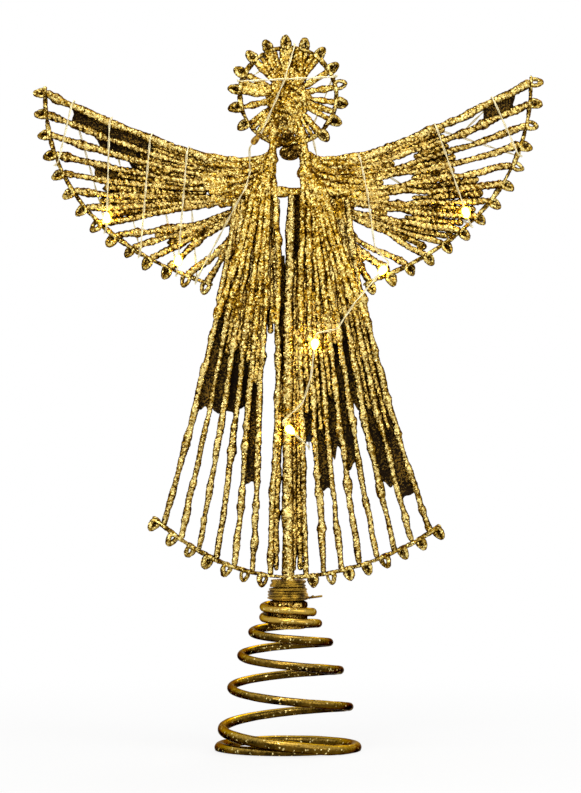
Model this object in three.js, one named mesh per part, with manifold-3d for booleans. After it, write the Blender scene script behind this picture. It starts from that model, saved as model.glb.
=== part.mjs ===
// Angel tree topper: a figure of stiff glittered cords and looped wire that stands on a conical
// coil spring, with a string of lights over its front and a battery box behind its skirt.
// Millimetres, +Z up. The figure faces -Y, and the origin is on the spring's axis at the floor.
import * as THREE from 'three';
import { mergeVertices } from 'three/addons/utils/BufferGeometryUtils.js';
import Module from 'manifold-3d';

const wasm = await Module();
wasm.setup();

// Clearance between two pieces that touch, and the free space between two turns of one wire
const seatGap = 0.3;
const turnGap = 0.7;

// Coil spring: a flat foot turn whose end is tucked inside it, climbing turns that narrow, and tight
// turns round the collar
const springWire = 3.3;
const springFootRadius = 26.6;
const springFootTurns = 0.555;
const springTuckTurns = 0.4375;
const springRise = 50.5;
const springTurns = 4.41;
const springGripTurns = 1.3;
const springFootFlat = 0.5;

// Collar: a barrel inside the tight turns, and a bound neck above it
const collarRadius = 7.6;
const collarTail = 2.6;
const collarNeckWall = 2;
const collarNeckLength = 8;
const bindingWire = 1;
const bindingTail = 7;

// Post, skirt ribs and hem
const postRadius = 2.6;
const skirtLength = 150;
const ribRadius = 1.2;
const hemPitch = 7;
const hemBow = 14;
const leftRibs = 7;
const rightRibs = 8;
const leftHemCurve = 62;
const rightHemCurve = 94;
const leftFlare = 1.3;
const rightFlare = 1.42;

// Looped edge wire: the hem, the wing edges and the head ring are all bent from it
const edgeWire = 1.6;
const eyeletRadius = 1.9;
const eyeletLead = 2.5;

// Chest bar and neck stems
const barRadius = 2.15;
const stemRadius = 1.75;
const stemFlare = 3.4;
const stemSpread = 6.2;
const neckHeight = 16.55;

// Head wheel
const headRadius = 18.8;
const headEyeletPitch = 6.6;
const headEyeletStart = -50;
const headEyeletSweep = 265;
const spokeRadius = 1.15;
const hubRadius = 11;
const hubDrop = 4.6;
const hubHalfDepth = 2.6;

// Wings, measured outward from the axis and up from the chest bar
const wingRootReach = 10.5;
const wingRootRise = 7.3;
const wingRootLength = 19;
const wingRootSlant = 21;
const wingTipReach = 95.6;
const leftWingTipRise = 42.2;
const rightWingTipRise = 46.4;
const wingBulgeReach = 96.5;
const leftWingBulgeDrop = 14.5;
const rightWingBulgeDrop = 11;
const wingHeelReach = 29.5;
const wingHeelDrop = 36;
const wingSweep = 0.1;
const wingEyeletPitch = 8;
const wingRibRadius = 1.3;
const sparRadius = 1.5;
const wingSag = 5;

// Backing sheets behind the cords
const backingThickness = 0.8;

// Light string
const lightWire = 0.8;
const dropRadius = 1.6;
const dropLength = 4.4;

// Battery box with its two cells, set to the right of the open gap beside the post
const cellRadius = 5.25;
const cellLength = 44.5;
const cellNubRadius = 1.9;
const cellNubHeight = 1;
const cellCount = 2;
const boxDrop = 34;
const boxShift = 8.15;
const boxWall = 1.6;
const boxCorner = 1.2;
const contactThickness = 0.5;
const contactSpringHeight = 3.2;
const contactNubHeight = 0.8;
const contactDepth = 9;
const coverThickness = 1.5;
const coverGroove = 0.8;
const coverLip = 0.9;
const coverLipReach = 0.6;
const coverRidges = 3;
const coverRidge = 0.6;
const switchBayHeight = 8;
const switchTravel = 4;
const switchNub = 3.4;
const switchNubProud = 1;
const switchFlange = 9;
const switchFlangeHeight = 5.4;
const switchFlangeThickness = 1;
const switchBodyWidth = 12;
const switchBodyHeight = 6;

// Facets
const wireSides = 5;
const cordSides = 6;
const roundSides = 8;
const eyeletSteps = 7;
const springStepsPerTurn = 16;
const bindingStepsPerTurn = 10;
const ribSteps = 5;
const wingRibSteps = 3;
const latheSteps = 24;
const smallLatheSteps = 10;

// Colours of the real pieces
const gold = { color: 0xb8892b, roughness: 0.45, metalness: 0.7 };
const springGold = { color: 0x7d6420, roughness: 0.35, metalness: 0.9 };
const paleWire = { color: 0xe2cf94, roughness: 0.35, metalness: 0.7 };
const lampGlass = { color: 0xfff3c0, roughness: 0.15, metalness: 0 };
const darkBacking = { color: 0x2a1c10, roughness: 0.95, metalness: 0 };
const darkKnot = { color: 0x4a3512, roughness: 0.7, metalness: 0.3 };
const boxPlastic = { color: 0x191613, roughness: 0.55, metalness: 0 };
const steel = { color: 0xc4c2bb, roughness: 0.3, metalness: 1 };
const cellJacket = { color: 0x3f6d57, roughness: 0.4, metalness: 0.4 };

// Stack of heights that everything is placed from
const footHeight = springWire / 2 - springFootFlat;
const gripHeight = footHeight + springRise;
const gripPitch = springWire + turnGap;
const gripRadius = collarRadius + seatGap + springWire / 2;
const collarShoulder = gripHeight + springGripTurns * gripPitch + springWire / 2;
const collarTop = collarShoulder + collarNeckLength;
const hemHeight = collarTop + seatGap + edgeWire / 2;
const chestHeight = hemHeight + skirtLength;
const ribTop = chestHeight - barRadius - seatGap;
const headHeight = chestHeight + barRadius + neckHeight + headRadius;

// Collar and eyelet sizes that their neighbours share
const collarBore = postRadius + seatGap;
const collarNeckRadius = collarBore + collarNeckWall;
const bindingFlat = collarNeckRadius + seatGap + bindingWire / 2;
const bindingRadius = bindingFlat / Math.cos(Math.PI / bindingStepsPerTurn);
const eyeletReach = eyeletRadius + edgeWire / 2;
const eyeletShift = edgeWire + turnGap;
const edgeHalfDepth = eyeletShift / 2 + edgeWire / 2;

// Wing plane: just behind the chest bar
const wingPlane = barRadius + seatGap + wingRibRadius;

const axisY = new THREE.Vector3(0, 1, 0);
const axisZ = new THREE.Vector3(0, 0, 1);
const group = new THREE.Group();

/** Adds one named piece to the group, with a material of its own. */
function addPiece(name, geometry, finish) {
  const mesh = new THREE.Mesh(geometry, new THREE.MeshStandardMaterial(finish));
  mesh.name = name;
  group.add(mesh);
  return mesh;
}

/** Keeps only positions, welds shared vertices and drops triangles that the weld closed up. */
function weld(geometry) {
  geometry.deleteAttribute('normal');
  geometry.deleteAttribute('uv');
  const welded = mergeVertices(geometry, 1e-4);
  const index = welded.index.array;
  const kept = [];
  for (let i = 0; i < index.length; i += 3) {
    const [a, b, c] = [index[i], index[i + 1], index[i + 2]];
    if (a !== b && b !== c && c !== a) kept.push(a, b, c);
  }
  welded.setIndex(kept);
  return welded;
}

/** Turns a closed geometry into a solid that can be joined and cut. */
function toSolid(geometry) {
  return new wasm.Manifold(new wasm.Mesh({
    numProp: 3,
    vertProperties: new Float32Array(geometry.attributes.position.array),
    triVerts: new Uint32Array(geometry.index.array),
  }));
}

/** Turns a solid back into a geometry. */
function toGeometry(solid) {
  const mesh = solid.getMesh();
  const geometry = new THREE.BufferGeometry();
  geometry.setAttribute('position', new THREE.BufferAttribute(new Float32Array(mesh.vertProperties), 3));
  geometry.setIndex(Array.from(mesh.triVerts));
  return geometry;
}

const join = (pieces) => toGeometry(pieces.map(toSolid).reduce((whole, piece) => whole.add(piece)));
const cut = (body, tools) => toGeometry(
  tools.map(toSolid).reduce((rest, tool) => rest.subtract(tool), toSolid(body)),
);

/** Tube of the given radius, or radii, through a list of points, with flat ends. */
function tube(points, radius, sides, up = axisY) {
  const position = [];
  const index = [];
  const last = points.length - 1;
  const across = up.clone();
  points.forEach((point, i) => {
    const ahead = points[Math.min(i + 1, last)].clone().sub(point).normalize();
    const behind = point.clone().sub(points[Math.max(i - 1, 0)]).normalize();
    const along = ahead.add(behind).normalize();
    across.addScaledVector(along, -across.dot(along)).normalize();
    const aside = along.clone().cross(across);
    const size = Array.isArray(radius) ? radius[i] : radius;
    for (let k = 0; k < sides; k += 1) {
      const angle = (2 * Math.PI * k) / sides;
      const vertex = point.clone();
      vertex.addScaledVector(across, size * Math.cos(angle)).addScaledVector(aside, size * Math.sin(angle));
      position.push(vertex.x, vertex.y, vertex.z);
    }
  });
  for (let i = 0; i < last; i += 1) {
    for (let k = 0; k < sides; k += 1) {
      const a = i * sides + k;
      const b = i * sides + ((k + 1) % sides);
      index.push(a, b, a + sides, b, b + sides, a + sides);
    }
  }
  const end = last * sides;
  for (let k = 1; k < sides - 1; k += 1) {
    index.push(0, k + 1, k, end, end + k, end + k + 1);
  }
  const geometry = new THREE.BufferGeometry();
  geometry.setAttribute('position', new THREE.Float32BufferAttribute(position, 3));
  geometry.setIndex(index);
  return geometry;
}

/** Solid of revolution about Z, from [radius, height] pairs listed upward along the outside. */
function revolve(profile, steps) {
  const lathe = new THREE.LatheGeometry(profile.map(([r, z]) => new THREE.Vector2(r, z)), steps);
  return weld(lathe.rotateX(Math.PI / 2));
}

/** Box between two corners. */
function block(low, high) {
  const size = high.map((value, i) => value - low[i]);
  const box = new THREE.BoxGeometry(...size);
  box.translate(...low.map((value, i) => value + size[i] / 2));
  return weld(box);
}

/** Slab with rounded corners in X and Z, between two depths. */
function roundedSlab(low, high, corner) {
  const outline = new THREE.Shape();
  outline.moveTo(low[0] + corner, low[2]);
  outline.lineTo(high[0] - corner, low[2]);
  outline.absarc(high[0] - corner, low[2] + corner, corner, -Math.PI / 2, 0, false);
  outline.lineTo(high[0], high[2] - corner);
  outline.absarc(high[0] - corner, high[2] - corner, corner, 0, Math.PI / 2, false);
  outline.lineTo(low[0] + corner, high[2]);
  outline.absarc(low[0] + corner, high[2] - corner, corner, Math.PI / 2, Math.PI, false);
  outline.lineTo(low[0], low[2] + corner);
  outline.absarc(low[0] + corner, low[2] + corner, corner, Math.PI, 1.5 * Math.PI, false);
  const slab = new THREE.ExtrudeGeometry(outline, {
    depth: high[1] - low[1], bevelEnabled: false, curveSegments: 3,
  });
  return weld(slab.rotateX(Math.PI / 2).translate(0, high[1], 0));
}

/** Thin sheet over a grid: pointAt gives its front at two shares, and its back lies a thickness behind. */
function sheet(pointAt, acrossSteps, downSteps, thickness) {
  const row = acrossSteps + 1;
  const count = row * (downSteps + 1);
  const front = [];
  for (let v = 0; v <= downSteps; v += 1) {
    for (let u = 0; u <= acrossSteps; u += 1) front.push(pointAt(u / acrossSteps, v / downSteps));
  }
  const back = front.map((point) => point.clone().addScaledVector(axisY, thickness));
  const position = [...front, ...back].flatMap((point) => [point.x, point.y, point.z]);
  const index = [];
  const wall = (a, b) => index.push(a, b, a + count, b, b + count, a + count);
  for (let v = 0; v < downSteps; v += 1) {
    for (let u = 0; u < acrossSteps; u += 1) {
      const a = v * row + u;
      const b = a + count;
      index.push(a, a + row, a + 1, a + 1, a + row, a + row + 1);
      index.push(b, b + 1, b + row, b + 1, b + row + 1, b + row);
    }
  }
  for (let u = 0; u < acrossSteps; u += 1) {
    wall(u, u + 1);
    wall(downSteps * row + u + 1, downSteps * row + u);
  }
  for (let v = 0; v < downSteps; v += 1) {
    wall((v + 1) * row, v * row);
    wall(v * row + acrossSteps, (v + 1) * row + acrossSteps);
  }
  const geometry = new THREE.BufferGeometry();
  geometry.setAttribute('position', new THREE.Float32BufferAttribute(position, 3));
  geometry.setIndex(index);
  return geometry;
}

/** Measures the least free space between stretches of one wire that lie apart along it, and prints it. */
function printLeastGap(name, points, wire) {
  const finePoints = [];
  const distance = [];
  let run = 0;
  for (let i = 0; i < points.length - 1; i += 1) {
    const length = points[i].distanceTo(points[i + 1]);
    for (let k = 0; k < 4; k += 1) {
      finePoints.push(points[i].clone().lerp(points[i + 1], k / 4));
      distance.push(run + (length * k) / 4);
    }
    run += length;
  }
  let least = Infinity;
  for (let i = 0; i < finePoints.length; i += 1) {
    for (let j = i + 1; j < finePoints.length; j += 1) {
      if (distance[j] - distance[i] > 2.5 * wire) {
        least = Math.min(least, finePoints[i].distanceTo(finePoints[j]));
      }
    }
  }
  console.log(`${name}: least gap to itself ${(least - wire).toFixed(2)} mm`);
}

/** How far a cord stops short of an edge wire that it meets, so that its rim stays clear of the wire. */
function setBack(direction, edgeTangent, radius) {
  const slant = Math.abs(direction.dot(edgeTangent));
  return (edgeWire / 2 + seatGap + radius * slant) / Math.sqrt(1 - slant * slant);
}

/** Place, direction and outward direction on an edge, at a distance along it. */
function edgeFrame(edge, distance) {
  const share = distance / edge.curve.getLength();
  const point = edge.curve.getPointAt(share);
  const tangent = edge.curve.getTangentAt(share);
  const outward = tangent.clone().cross(axisY).normalize();
  if (outward.dot(point.clone().sub(edge.inner)) < 0) outward.negate();
  return { point, tangent, outward };
}

/** Points of an edge wire that turns once round each eyelet, passing behind itself where it crosses. */
function loopedPath(edge) {
  const half = eyeletShift / 2;
  const path = [];
  const place = (distance, depth) => {
    path.push(edgeFrame(edge, distance).point.clone().addScaledVector(axisY, depth));
  };
  const straight = (from, to, depthFrom, depthTo) => {
    const steps = Math.max(3, Math.round((to - from) / (2 * eyeletReach)));
    for (let i = 1; i <= steps; i += 1) {
      const share = THREE.MathUtils.clamp((3 * i) / steps - 1, 0, 1);
      place(from + ((to - from) * i) / steps, depthFrom + (depthTo - depthFrom) * share);
    }
  };
  place(0, -half);
  let from = 0;
  edge.eyelets.forEach((distance, number) => {
    straight(from, distance, number === 0 ? -half : half, -half);
    const { point, tangent, outward } = edgeFrame(edge, distance);
    for (let i = 1; i <= eyeletSteps; i += 1) {
      const angle = (2 * Math.PI * i) / eyeletSteps;
      const depth = half * (2 * THREE.MathUtils.smoothstep(i / eyeletSteps, 0.25, 0.75) - 1);
      const turn = point.clone().addScaledVector(tangent, eyeletRadius * Math.sin(angle));
      turn.addScaledVector(outward, eyeletRadius * (1 - Math.cos(angle))).addScaledVector(axisY, depth);
      path.push(turn);
    }
    from = distance;
  });
  straight(from, edge.curve.getLength(), half, half);
  return path;
}

/** Adds an edge wire and prints its least gap. */
function addLoopedWire(name, edge) {
  const path = loopedPath(edge);
  printLeastGap(name, path, edgeWire);
  addPiece(name, tube(path, edgeWire / 2, wireSides), gold);
}

// Coil spring: wound left-handed, one unbroken wire whose end lies flat inside the foot turn
function springPath() {
  const tuck = springWire + 2 * seatGap;
  const climbEnd = springFootTurns + springTurns;
  const easeIn = 0.1;
  const climb = springTurns - easeIn / 2;
  const firstPitch = (2 * springRise) / climb - gripPitch;
  const total = climbEnd + springGripTurns;
  const steps = Math.round((total + springTuckTurns) * springStepsPerTurn);
  const path = [];
  for (let i = 0; i <= steps; i += 1) {
    const turn = ((total + springTuckTurns) * i) / steps - springTuckTurns;
    const above = Math.max(0, turn - springFootTurns);
    const eased = above < easeIn ? (above * above) / (2 * easeIn) : above - easeIn / 2;
    const climbing = Math.min(eased, climb);
    const rise = firstPitch * climbing - ((firstPitch - gripPitch) / (2 * climb)) * climbing * climbing;
    const grip = (eased - climbing) * gripPitch;
    const taper = Math.pow(THREE.MathUtils.clamp(above / springTurns, 0, 1), 1.2);
    const tucked = tuck * THREE.MathUtils.smoothstep(-turn, 0, 0.3);
    const radius = THREE.MathUtils.lerp(springFootRadius, gripRadius, taper) - tucked;
    const angle = Math.PI - 2 * Math.PI * turn;
    const height = footHeight + rise + grip;
    path.push(new THREE.Vector3(radius * Math.cos(angle), radius * Math.sin(angle), height));
  }
  return path;
}

const springPoints = springPath();
printLeastGap('coil_spring', springPoints, springWire);
const floorReach = springFootRadius + springWire;
const floorBlock = block([-floorReach, -floorReach, -springWire], [floorReach, floorReach, 0]);
const springTube = tube(springPoints, springWire / 2, roundSides, axisZ);
addPiece('coil_spring', cut(springTube, [floorBlock]), springGold);

// Collar: turned plug with the post's bore, a barrel for the tight turns and a narrower neck
const collarFoot = gripHeight - springWire / 2 - collarTail;
addPiece('collar', revolve([
  [collarBore, collarFoot], [collarRadius - 1, collarFoot], [collarRadius, collarFoot + 1],
  [collarRadius, collarShoulder - 0.6], [collarRadius - 0.6, collarShoulder],
  [collarNeckRadius, collarShoulder], [collarNeckRadius, collarTop], [collarBore, collarTop],
  [collarBore, collarFoot],
], latheSteps), gold);

// Collar binding: thin wire wound up the neck, with its tail standing out beside the first turn
function bindingPath() {
  const pitch = bindingWire + turnGap;
  const low = collarShoulder + seatGap + bindingWire / 2;
  const turns = (collarTop - bindingWire / 2 - low) / pitch;
  const steps = Math.max(3, Math.round(turns * bindingStepsPerTurn));
  const path = [new THREE.Vector3(bindingRadius + bindingTail * 0.3, -bindingTail, low)];
  for (let i = 0; i <= steps; i += 1) {
    const angle = (2 * Math.PI * turns * i) / steps;
    const x = bindingRadius * Math.cos(angle);
    path.push(new THREE.Vector3(x, bindingRadius * Math.sin(angle), low + (pitch * turns * i) / steps));
  }
  return path;
}

const bindingPoints = bindingPath();
printLeastGap('collar_binding', bindingPoints, bindingWire);
addPiece('collar_binding', tube(bindingPoints, bindingWire / 2, wireSides, axisZ), paleWire);

// Centre post, from the collar's foot to the chest bar
addPiece('centre_post', tube([
  new THREE.Vector3(0, 0, collarFoot), new THREE.Vector3(0, 0, ribTop),
], postRadius, roundSides), gold);

// Skirt: each side's ribs start side by side under the bar and fan out to the hem
const ribPitch = 2 * ribRadius + seatGap;
const firstRibTop = postRadius + seatGap + ribRadius;
const firstRibHem = bindingRadius + bindingWire / 2 + seatGap + eyeletReach - eyeletLead;
const hemHalfWidth = firstRibHem + (Math.max(leftRibs, rightRibs) - 1) * hemPitch;
const sides = [
  {
    name: 'left',
    sign: -1,
    ribs: leftRibs,
    hemCurve: leftHemCurve,
    flare: leftFlare,
    tipRise: leftWingTipRise,
    bulgeDrop: leftWingBulgeDrop,
  },
  {
    name: 'right',
    sign: 1,
    ribs: rightRibs,
    hemCurve: rightHemCurve,
    flare: rightFlare,
    tipRise: rightWingTipRise,
    bulgeDrop: rightWingBulgeDrop,
  },
];

/** Point of the hem at a distance from the post's axis. */
function hemPoint(side, reach) {
  const bow = hemBow * (reach / hemHalfWidth) ** 2;
  return new THREE.Vector3(side.sign * reach, bow, hemHeight + (reach * reach) / (2 * side.hemCurve));
}

/** Point on a rib's axis: number 1 is next to the post, and share runs from the bar down to the hem. */
function ribPoint(side, number, share) {
  const foot = hemPoint(side, firstRibHem + (number - 1) * hemPitch);
  const top = firstRibTop + (number - 1) * ribPitch;
  return new THREE.Vector3(
    THREE.MathUtils.lerp(side.sign * top, foot.x, share ** side.flare),
    foot.y * share * share,
    THREE.MathUtils.lerp(ribTop, foot.z, share),
  );
}

class HemCurve extends THREE.Curve {
  constructor(side) {
    super();
    this.side = side;
    this.start = postRadius + seatGap;
    this.end = firstRibHem + (side.ribs - 1) * hemPitch + 1.7 * eyeletLead;
  }

  getPoint(share, target = new THREE.Vector3()) {
    return target.copy(hemPoint(this.side, THREE.MathUtils.lerp(this.start, this.end, share)));
  }

  /** Distance along the hem at which it lies a given reach from the axis. */
  distanceAt(reach) {
    const lengths = this.getLengths();
    const place = ((reach - this.start) / (this.end - this.start)) * (lengths.length - 1);
    const low = Math.min(Math.floor(place), lengths.length - 2);
    return THREE.MathUtils.lerp(lengths[low], lengths[low + 1], place - low);
  }
}

for (const side of sides) {
  const curve = new HemCurve(side);
  const eyelets = [];
  for (let number = 1; number <= side.ribs; number += 1) {
    const reach = firstRibHem + (number - 1) * hemPitch;
    eyelets.push(curve.distanceAt(reach + eyeletLead));
    const tangent = curve.getTangentAt(curve.distanceAt(reach) / curve.getLength());
    const foot = ribPoint(side, number, 1);
    const direction = foot.clone().sub(ribPoint(side, number, 0.98)).normalize();
    const length = ribPoint(side, number, 0).distanceTo(foot);
    const firstShare = (ribRadius * Math.abs(direction.x)) / length;
    const lastShare = 1 - setBack(direction, tangent, ribRadius) / length;
    const points = [];
    for (let i = 0; i <= ribSteps; i += 1) {
      points.push(ribPoint(side, number, THREE.MathUtils.lerp(firstShare, lastShare, i / ribSteps)));
    }
    addPiece(`skirt_rib_${side.name}_${number}`, tube(points, ribRadius, cordSides), gold);
  }
  addLoopedWire(`skirt_hem_${side.name}`, { curve, eyelets, inner: new THREE.Vector3(0, 0, chestHeight) });
}

// Skirt backing: a sheet behind the inner ribs, from under the wings to below the middle, with a notch
// between the first two ribs left of the post
const backingRibs = 5;
const backingTopShare = 0.128;
const backingFootShare = 0.6;
const backingNotchShare = 0.34;
const backingStandOff = Math.max(postRadius, ribRadius) + seatGap;
const backingPoint = (across, down) => {
  const place = (2 * across - 1) * backingRibs;
  const side = sides[place < 0 ? 0 : 1];
  const notched = place > -2.01 && place < -0.99;
  const foot = notched ? backingNotchShare : backingFootShare;
  const share = THREE.MathUtils.lerp(backingTopShare, foot, down);
  return ribPoint(side, Math.abs(place), share).addScaledVector(axisY, backingStandOff);
};
addPiece('skirt_backing', sheet(backingPoint, 4 * backingRibs, 4, backingThickness), darkBacking);

// Chest bar, with rounded ends, over all the ribs
const barEnd = (side) => firstRibTop + (side.ribs - 1) * ribPitch + ribRadius;
const barTaper = barRadius * 0.6;
addPiece('chest_bar', tube([
  new THREE.Vector3(-barEnd(sides[0]), 0, chestHeight),
  new THREE.Vector3(-barEnd(sides[0]) + barTaper, 0, chestHeight),
  new THREE.Vector3(barEnd(sides[1]) - barTaper, 0, chestHeight),
  new THREE.Vector3(barEnd(sides[1]), 0, chestHeight),
], [barTaper, barRadius, barRadius, barTaper], roundSides), gold);

// Head ring: a circle of edge wire whose ends meet under the chin
class RingCurve extends THREE.Curve {
  getPoint(share, target = new THREE.Vector3()) {
    const openAngle = edgeWire / headRadius;
    const angle = -Math.PI / 2 + openAngle / 2 + (2 * Math.PI - openAngle) * share;
    return target.set(headRadius * Math.cos(angle), 0, headHeight + headRadius * Math.sin(angle));
  }
}

const ringCurve = new RingCurve();
const headEyeletArc = THREE.MathUtils.degToRad(headEyeletSweep) * headRadius;
const headEyelets = Math.floor(headEyeletArc / headEyeletPitch) + 1;
const headAngles = Array.from({ length: headEyelets }, (_, i) => (
  THREE.MathUtils.degToRad(headEyeletStart + (headEyeletSweep * i) / (headEyelets - 1))
));
const headEdge = {
  curve: ringCurve,
  eyelets: headAngles.map((angle) => ((angle + Math.PI / 2) / (2 * Math.PI)) * ringCurve.getLength()),
  inner: new THREE.Vector3(0, 0, headHeight),
};
addLoopedWire('head_ring', headEdge);

// Head spokes: one short cord to each eyelet, glued together in a domed hub
const spokeEnd = headRadius - edgeWire / 2 - seatGap;
const spokes = headAngles.map((angle) => tube([
  new THREE.Vector3(0, 0, headHeight),
  new THREE.Vector3(spokeEnd * Math.cos(angle), 0, headHeight + spokeEnd * Math.sin(angle)),
], spokeRadius, cordSides));
const hub = revolve([
  [0, -hubHalfDepth], [hubRadius * 0.7, -hubHalfDepth * 0.8], [hubRadius, 0],
  [hubRadius * 0.7, hubHalfDepth * 0.8], [0, hubHalfDepth],
], 16).rotateX(Math.PI / 2).translate(0, 0, headHeight - hubDrop);
addPiece('head_spokes', join([hub, ...spokes]), gold);

// Neck stems: they flare on the chest bar and stop under the ring
for (const side of sides) {
  const ringHeight = headHeight - Math.sqrt(headRadius ** 2 - stemSpread ** 2);
  const ringTangent = new THREE.Vector3(ringHeight - headHeight, 0, -stemSpread).divideScalar(headRadius);
  const top = ringHeight - setBack(new THREE.Vector3(0, 0, 1), ringTangent, stemRadius);
  const foot = chestHeight + barRadius + seatGap;
  const footReach = stemSpread + stemFlare - stemRadius - seatGap;
  addPiece(`neck_stem_${side.name}`, tube([
    new THREE.Vector3(side.sign * footReach, 0, foot),
    new THREE.Vector3(side.sign * footReach, 0, THREE.MathUtils.lerp(foot, top, 0.1)),
    new THREE.Vector3(side.sign * stemSpread, 0, THREE.MathUtils.lerp(foot, top, 0.5)),
    new THREE.Vector3(side.sign * stemSpread, 0, top),
  ], [stemFlare, stemFlare, stemRadius, stemRadius], roundSides), gold);
}

// Chin knot: a lump of dark binding between the stems, hung close under the ring
const knotRadius = stemSpread - stemRadius - seatGap;
const knotFlatness = 0.75;
const knotHeight = headHeight - headRadius - edgeWire / 2 - seatGap - knotRadius * knotFlatness;
const knot = new THREE.SphereGeometry(knotRadius, 10, 6).rotateX(Math.PI / 2).scale(1, 1, knotFlatness);
addPiece('chin_knot', weld(knot.translate(0, 0, knotHeight)), darkKnot);

/** Point of a wing's plane, at an outward reach and a height above the chest bar, moved back by a depth. */
function wingPoint(sign, reach, rise, depth = 0) {
  const y = wingPlane + wingSweep * (reach - wingRootReach) + depth;
  return new THREE.Vector3(sign * reach, y, chestHeight + rise);
}

/** Everything that the pieces of one wing share: its edge, its spar and the places of its ribs. */
function wingFrame({ sign, tipRise, bulgeDrop }) {
  const slant = THREE.MathUtils.degToRad(wingRootSlant);
  const root = (distance) => wingPoint(
    sign,
    wingRootReach + distance * Math.sin(slant),
    wingRootRise - distance * Math.cos(slant),
  );
  const curve = new THREE.QuadraticBezierCurve3(
    wingPoint(sign, wingTipReach, tipRise),
    wingPoint(sign, wingBulgeReach, -bulgeDrop),
    wingPoint(sign, wingHeelReach, -wingHeelDrop),
  );
  const reach = curve.getLength() - 2 * eyeletLead;
  const count = Math.floor(reach / wingEyeletPitch) + 1;
  const eyelets = Array.from({ length: count }, (_, i) => eyeletLead + (reach * i) / (count - 1));
  const edge = { curve, eyelets, inner: root(wingRootLength / 2) };
  const firstRoot = sparRadius + seatGap + wingRibRadius;
  const rootPitch = (wingRootLength - firstRoot) / (count - 2);
  /** A rib's root and its end at the edge wire: 0 is the spar, and halves lie between two ribs. */
  const rib = (number, radius) => {
    const start = root(number === 0 ? 0 : firstRoot + (number - 1) * rootPitch);
    const distance = eyeletLead + (reach * number) / (count - 1);
    const { point, tangent } = edgeFrame(edge, distance);
    const direction = point.clone().sub(start).normalize();
    const end = point.clone().addScaledVector(direction, -setBack(direction, tangent, radius));
    return { start, end };
  };
  /** The sagging line of a rib: the spar sags most, and the last rib is straight. */
  const line = (number, radius) => {
    const { start, end } = rib(number, radius);
    const middle = start.clone().lerp(end, 0.5);
    middle.z -= wingSag * (1 - number / (count - 1));
    return new THREE.QuadraticBezierCurve3(start, middle, end);
  };
  return { edge, count, line, spar: line(0, sparRadius) };
}

const fillerFirst = 1;
const fillerLast = 8;
const wingBackingFirst = 0.7;
const wingBackingLast = 6.3;
const wingBackingNear = 0.42;
const wingBackingFar = 0.8;

for (const side of sides) {
  const wing = wingFrame(side);
  addPiece(`wing_spar_${side.name}`, tube(wing.spar.getPoints(4), sparRadius, cordSides), gold);

  // Ribs reach the edge, and shorter cords fill the upper gaps near the root
  const ribs = [];
  for (let number = 1; number < wing.count; number += 1) {
    ribs.push(tube(wing.line(number, wingRibRadius).getPoints(wingRibSteps), wingRibRadius, cordSides));
  }
  for (let number = fillerFirst; number < fillerLast; number += 1) {
    const line = wing.line(number + 0.5, wingRibRadius);
    const share = 0.62 + 0.08 * Math.cos(2.4 * number);
    const points = [0, share / 2, share].map((along) => line.getPoint(along));
    ribs.push(tube(points, wingRibRadius, cordSides));
  }
  addPiece(`wing_ribs_${side.name}`, join(ribs), gold);
  addLoopedWire(`wing_edge_${side.name}`, wing.edge);

  // Backing behind the upper ribs; its across direction is turned so that its front faces the ribs
  const standOff = Math.max(sparRadius, wingRibRadius) + seatGap;
  const backing = (across, down) => {
    const outward = side.sign > 0 ? across : 1 - across;
    const number = THREE.MathUtils.lerp(wingBackingFirst, wingBackingLast, down);
    const share = THREE.MathUtils.lerp(wingBackingNear, wingBackingFar, outward);
    return wing.line(number, wingRibRadius).getPoint(share).addScaledVector(axisY, standOff);
  };
  addPiece(`wing_backing_${side.name}`, sheet(backing, 3, 4, backingThickness), darkBacking);
}

// Battery box behind the backing: its bays are sized by the cells, their contacts and the switch
const bayWidth = 2 * cellRadius * cellCount + seatGap * (cellCount + 1);
const bayDepth = 2 * cellRadius + 2 * seatGap;
const bayHeight = cellLength + contactSpringHeight + contactNubHeight + 2 * contactThickness + 4 * seatGap;
const boxWidth = bayWidth + 2 * boxWall;
const boxHeight = bayHeight + switchBayHeight + 3 * boxWall;
const boxTop = chestHeight - boxDrop;
const boxBase = boxTop - boxHeight;
const bayBase = boxBase + switchBayHeight + 2 * boxWall;
const bayTop = bayBase + bayHeight;

/** Depth of the backing's back where it stands furthest out behind the box. */
function backingReach() {
  const samples = 40;
  let reach = 0;
  for (let i = 0; i <= samples; i += 1) {
    const point = backingPoint(i / samples, 1);
    if (Math.abs(point.x - boxShift) < boxWidth / 2) reach = Math.max(reach, point.y);
  }
  return reach + backingThickness;
}

const boxFront = backingReach() + seatGap;
const bayFloor = boxFront + boxWall;
const grooveFront = bayFloor + bayDepth;
const grooveBack = grooveFront + coverThickness + 2 * seatGap;
const boxBack = grooveBack + coverLip;
const slotHeight = boxBase + boxWall + switchBayHeight / 2;
const switchFlangeBack = boxBack - boxWall - seatGap;
const switchFlangeFront = switchFlangeBack - switchFlangeThickness;

// The light string leaves the box between the first two ribs right of the post
const leadShare = 0.66;
const leadRib = 1.5;
const leadGap = ribPoint(sides[1], leadRib, leadShare);
const leadDepth = bayFloor + 3;

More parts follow.
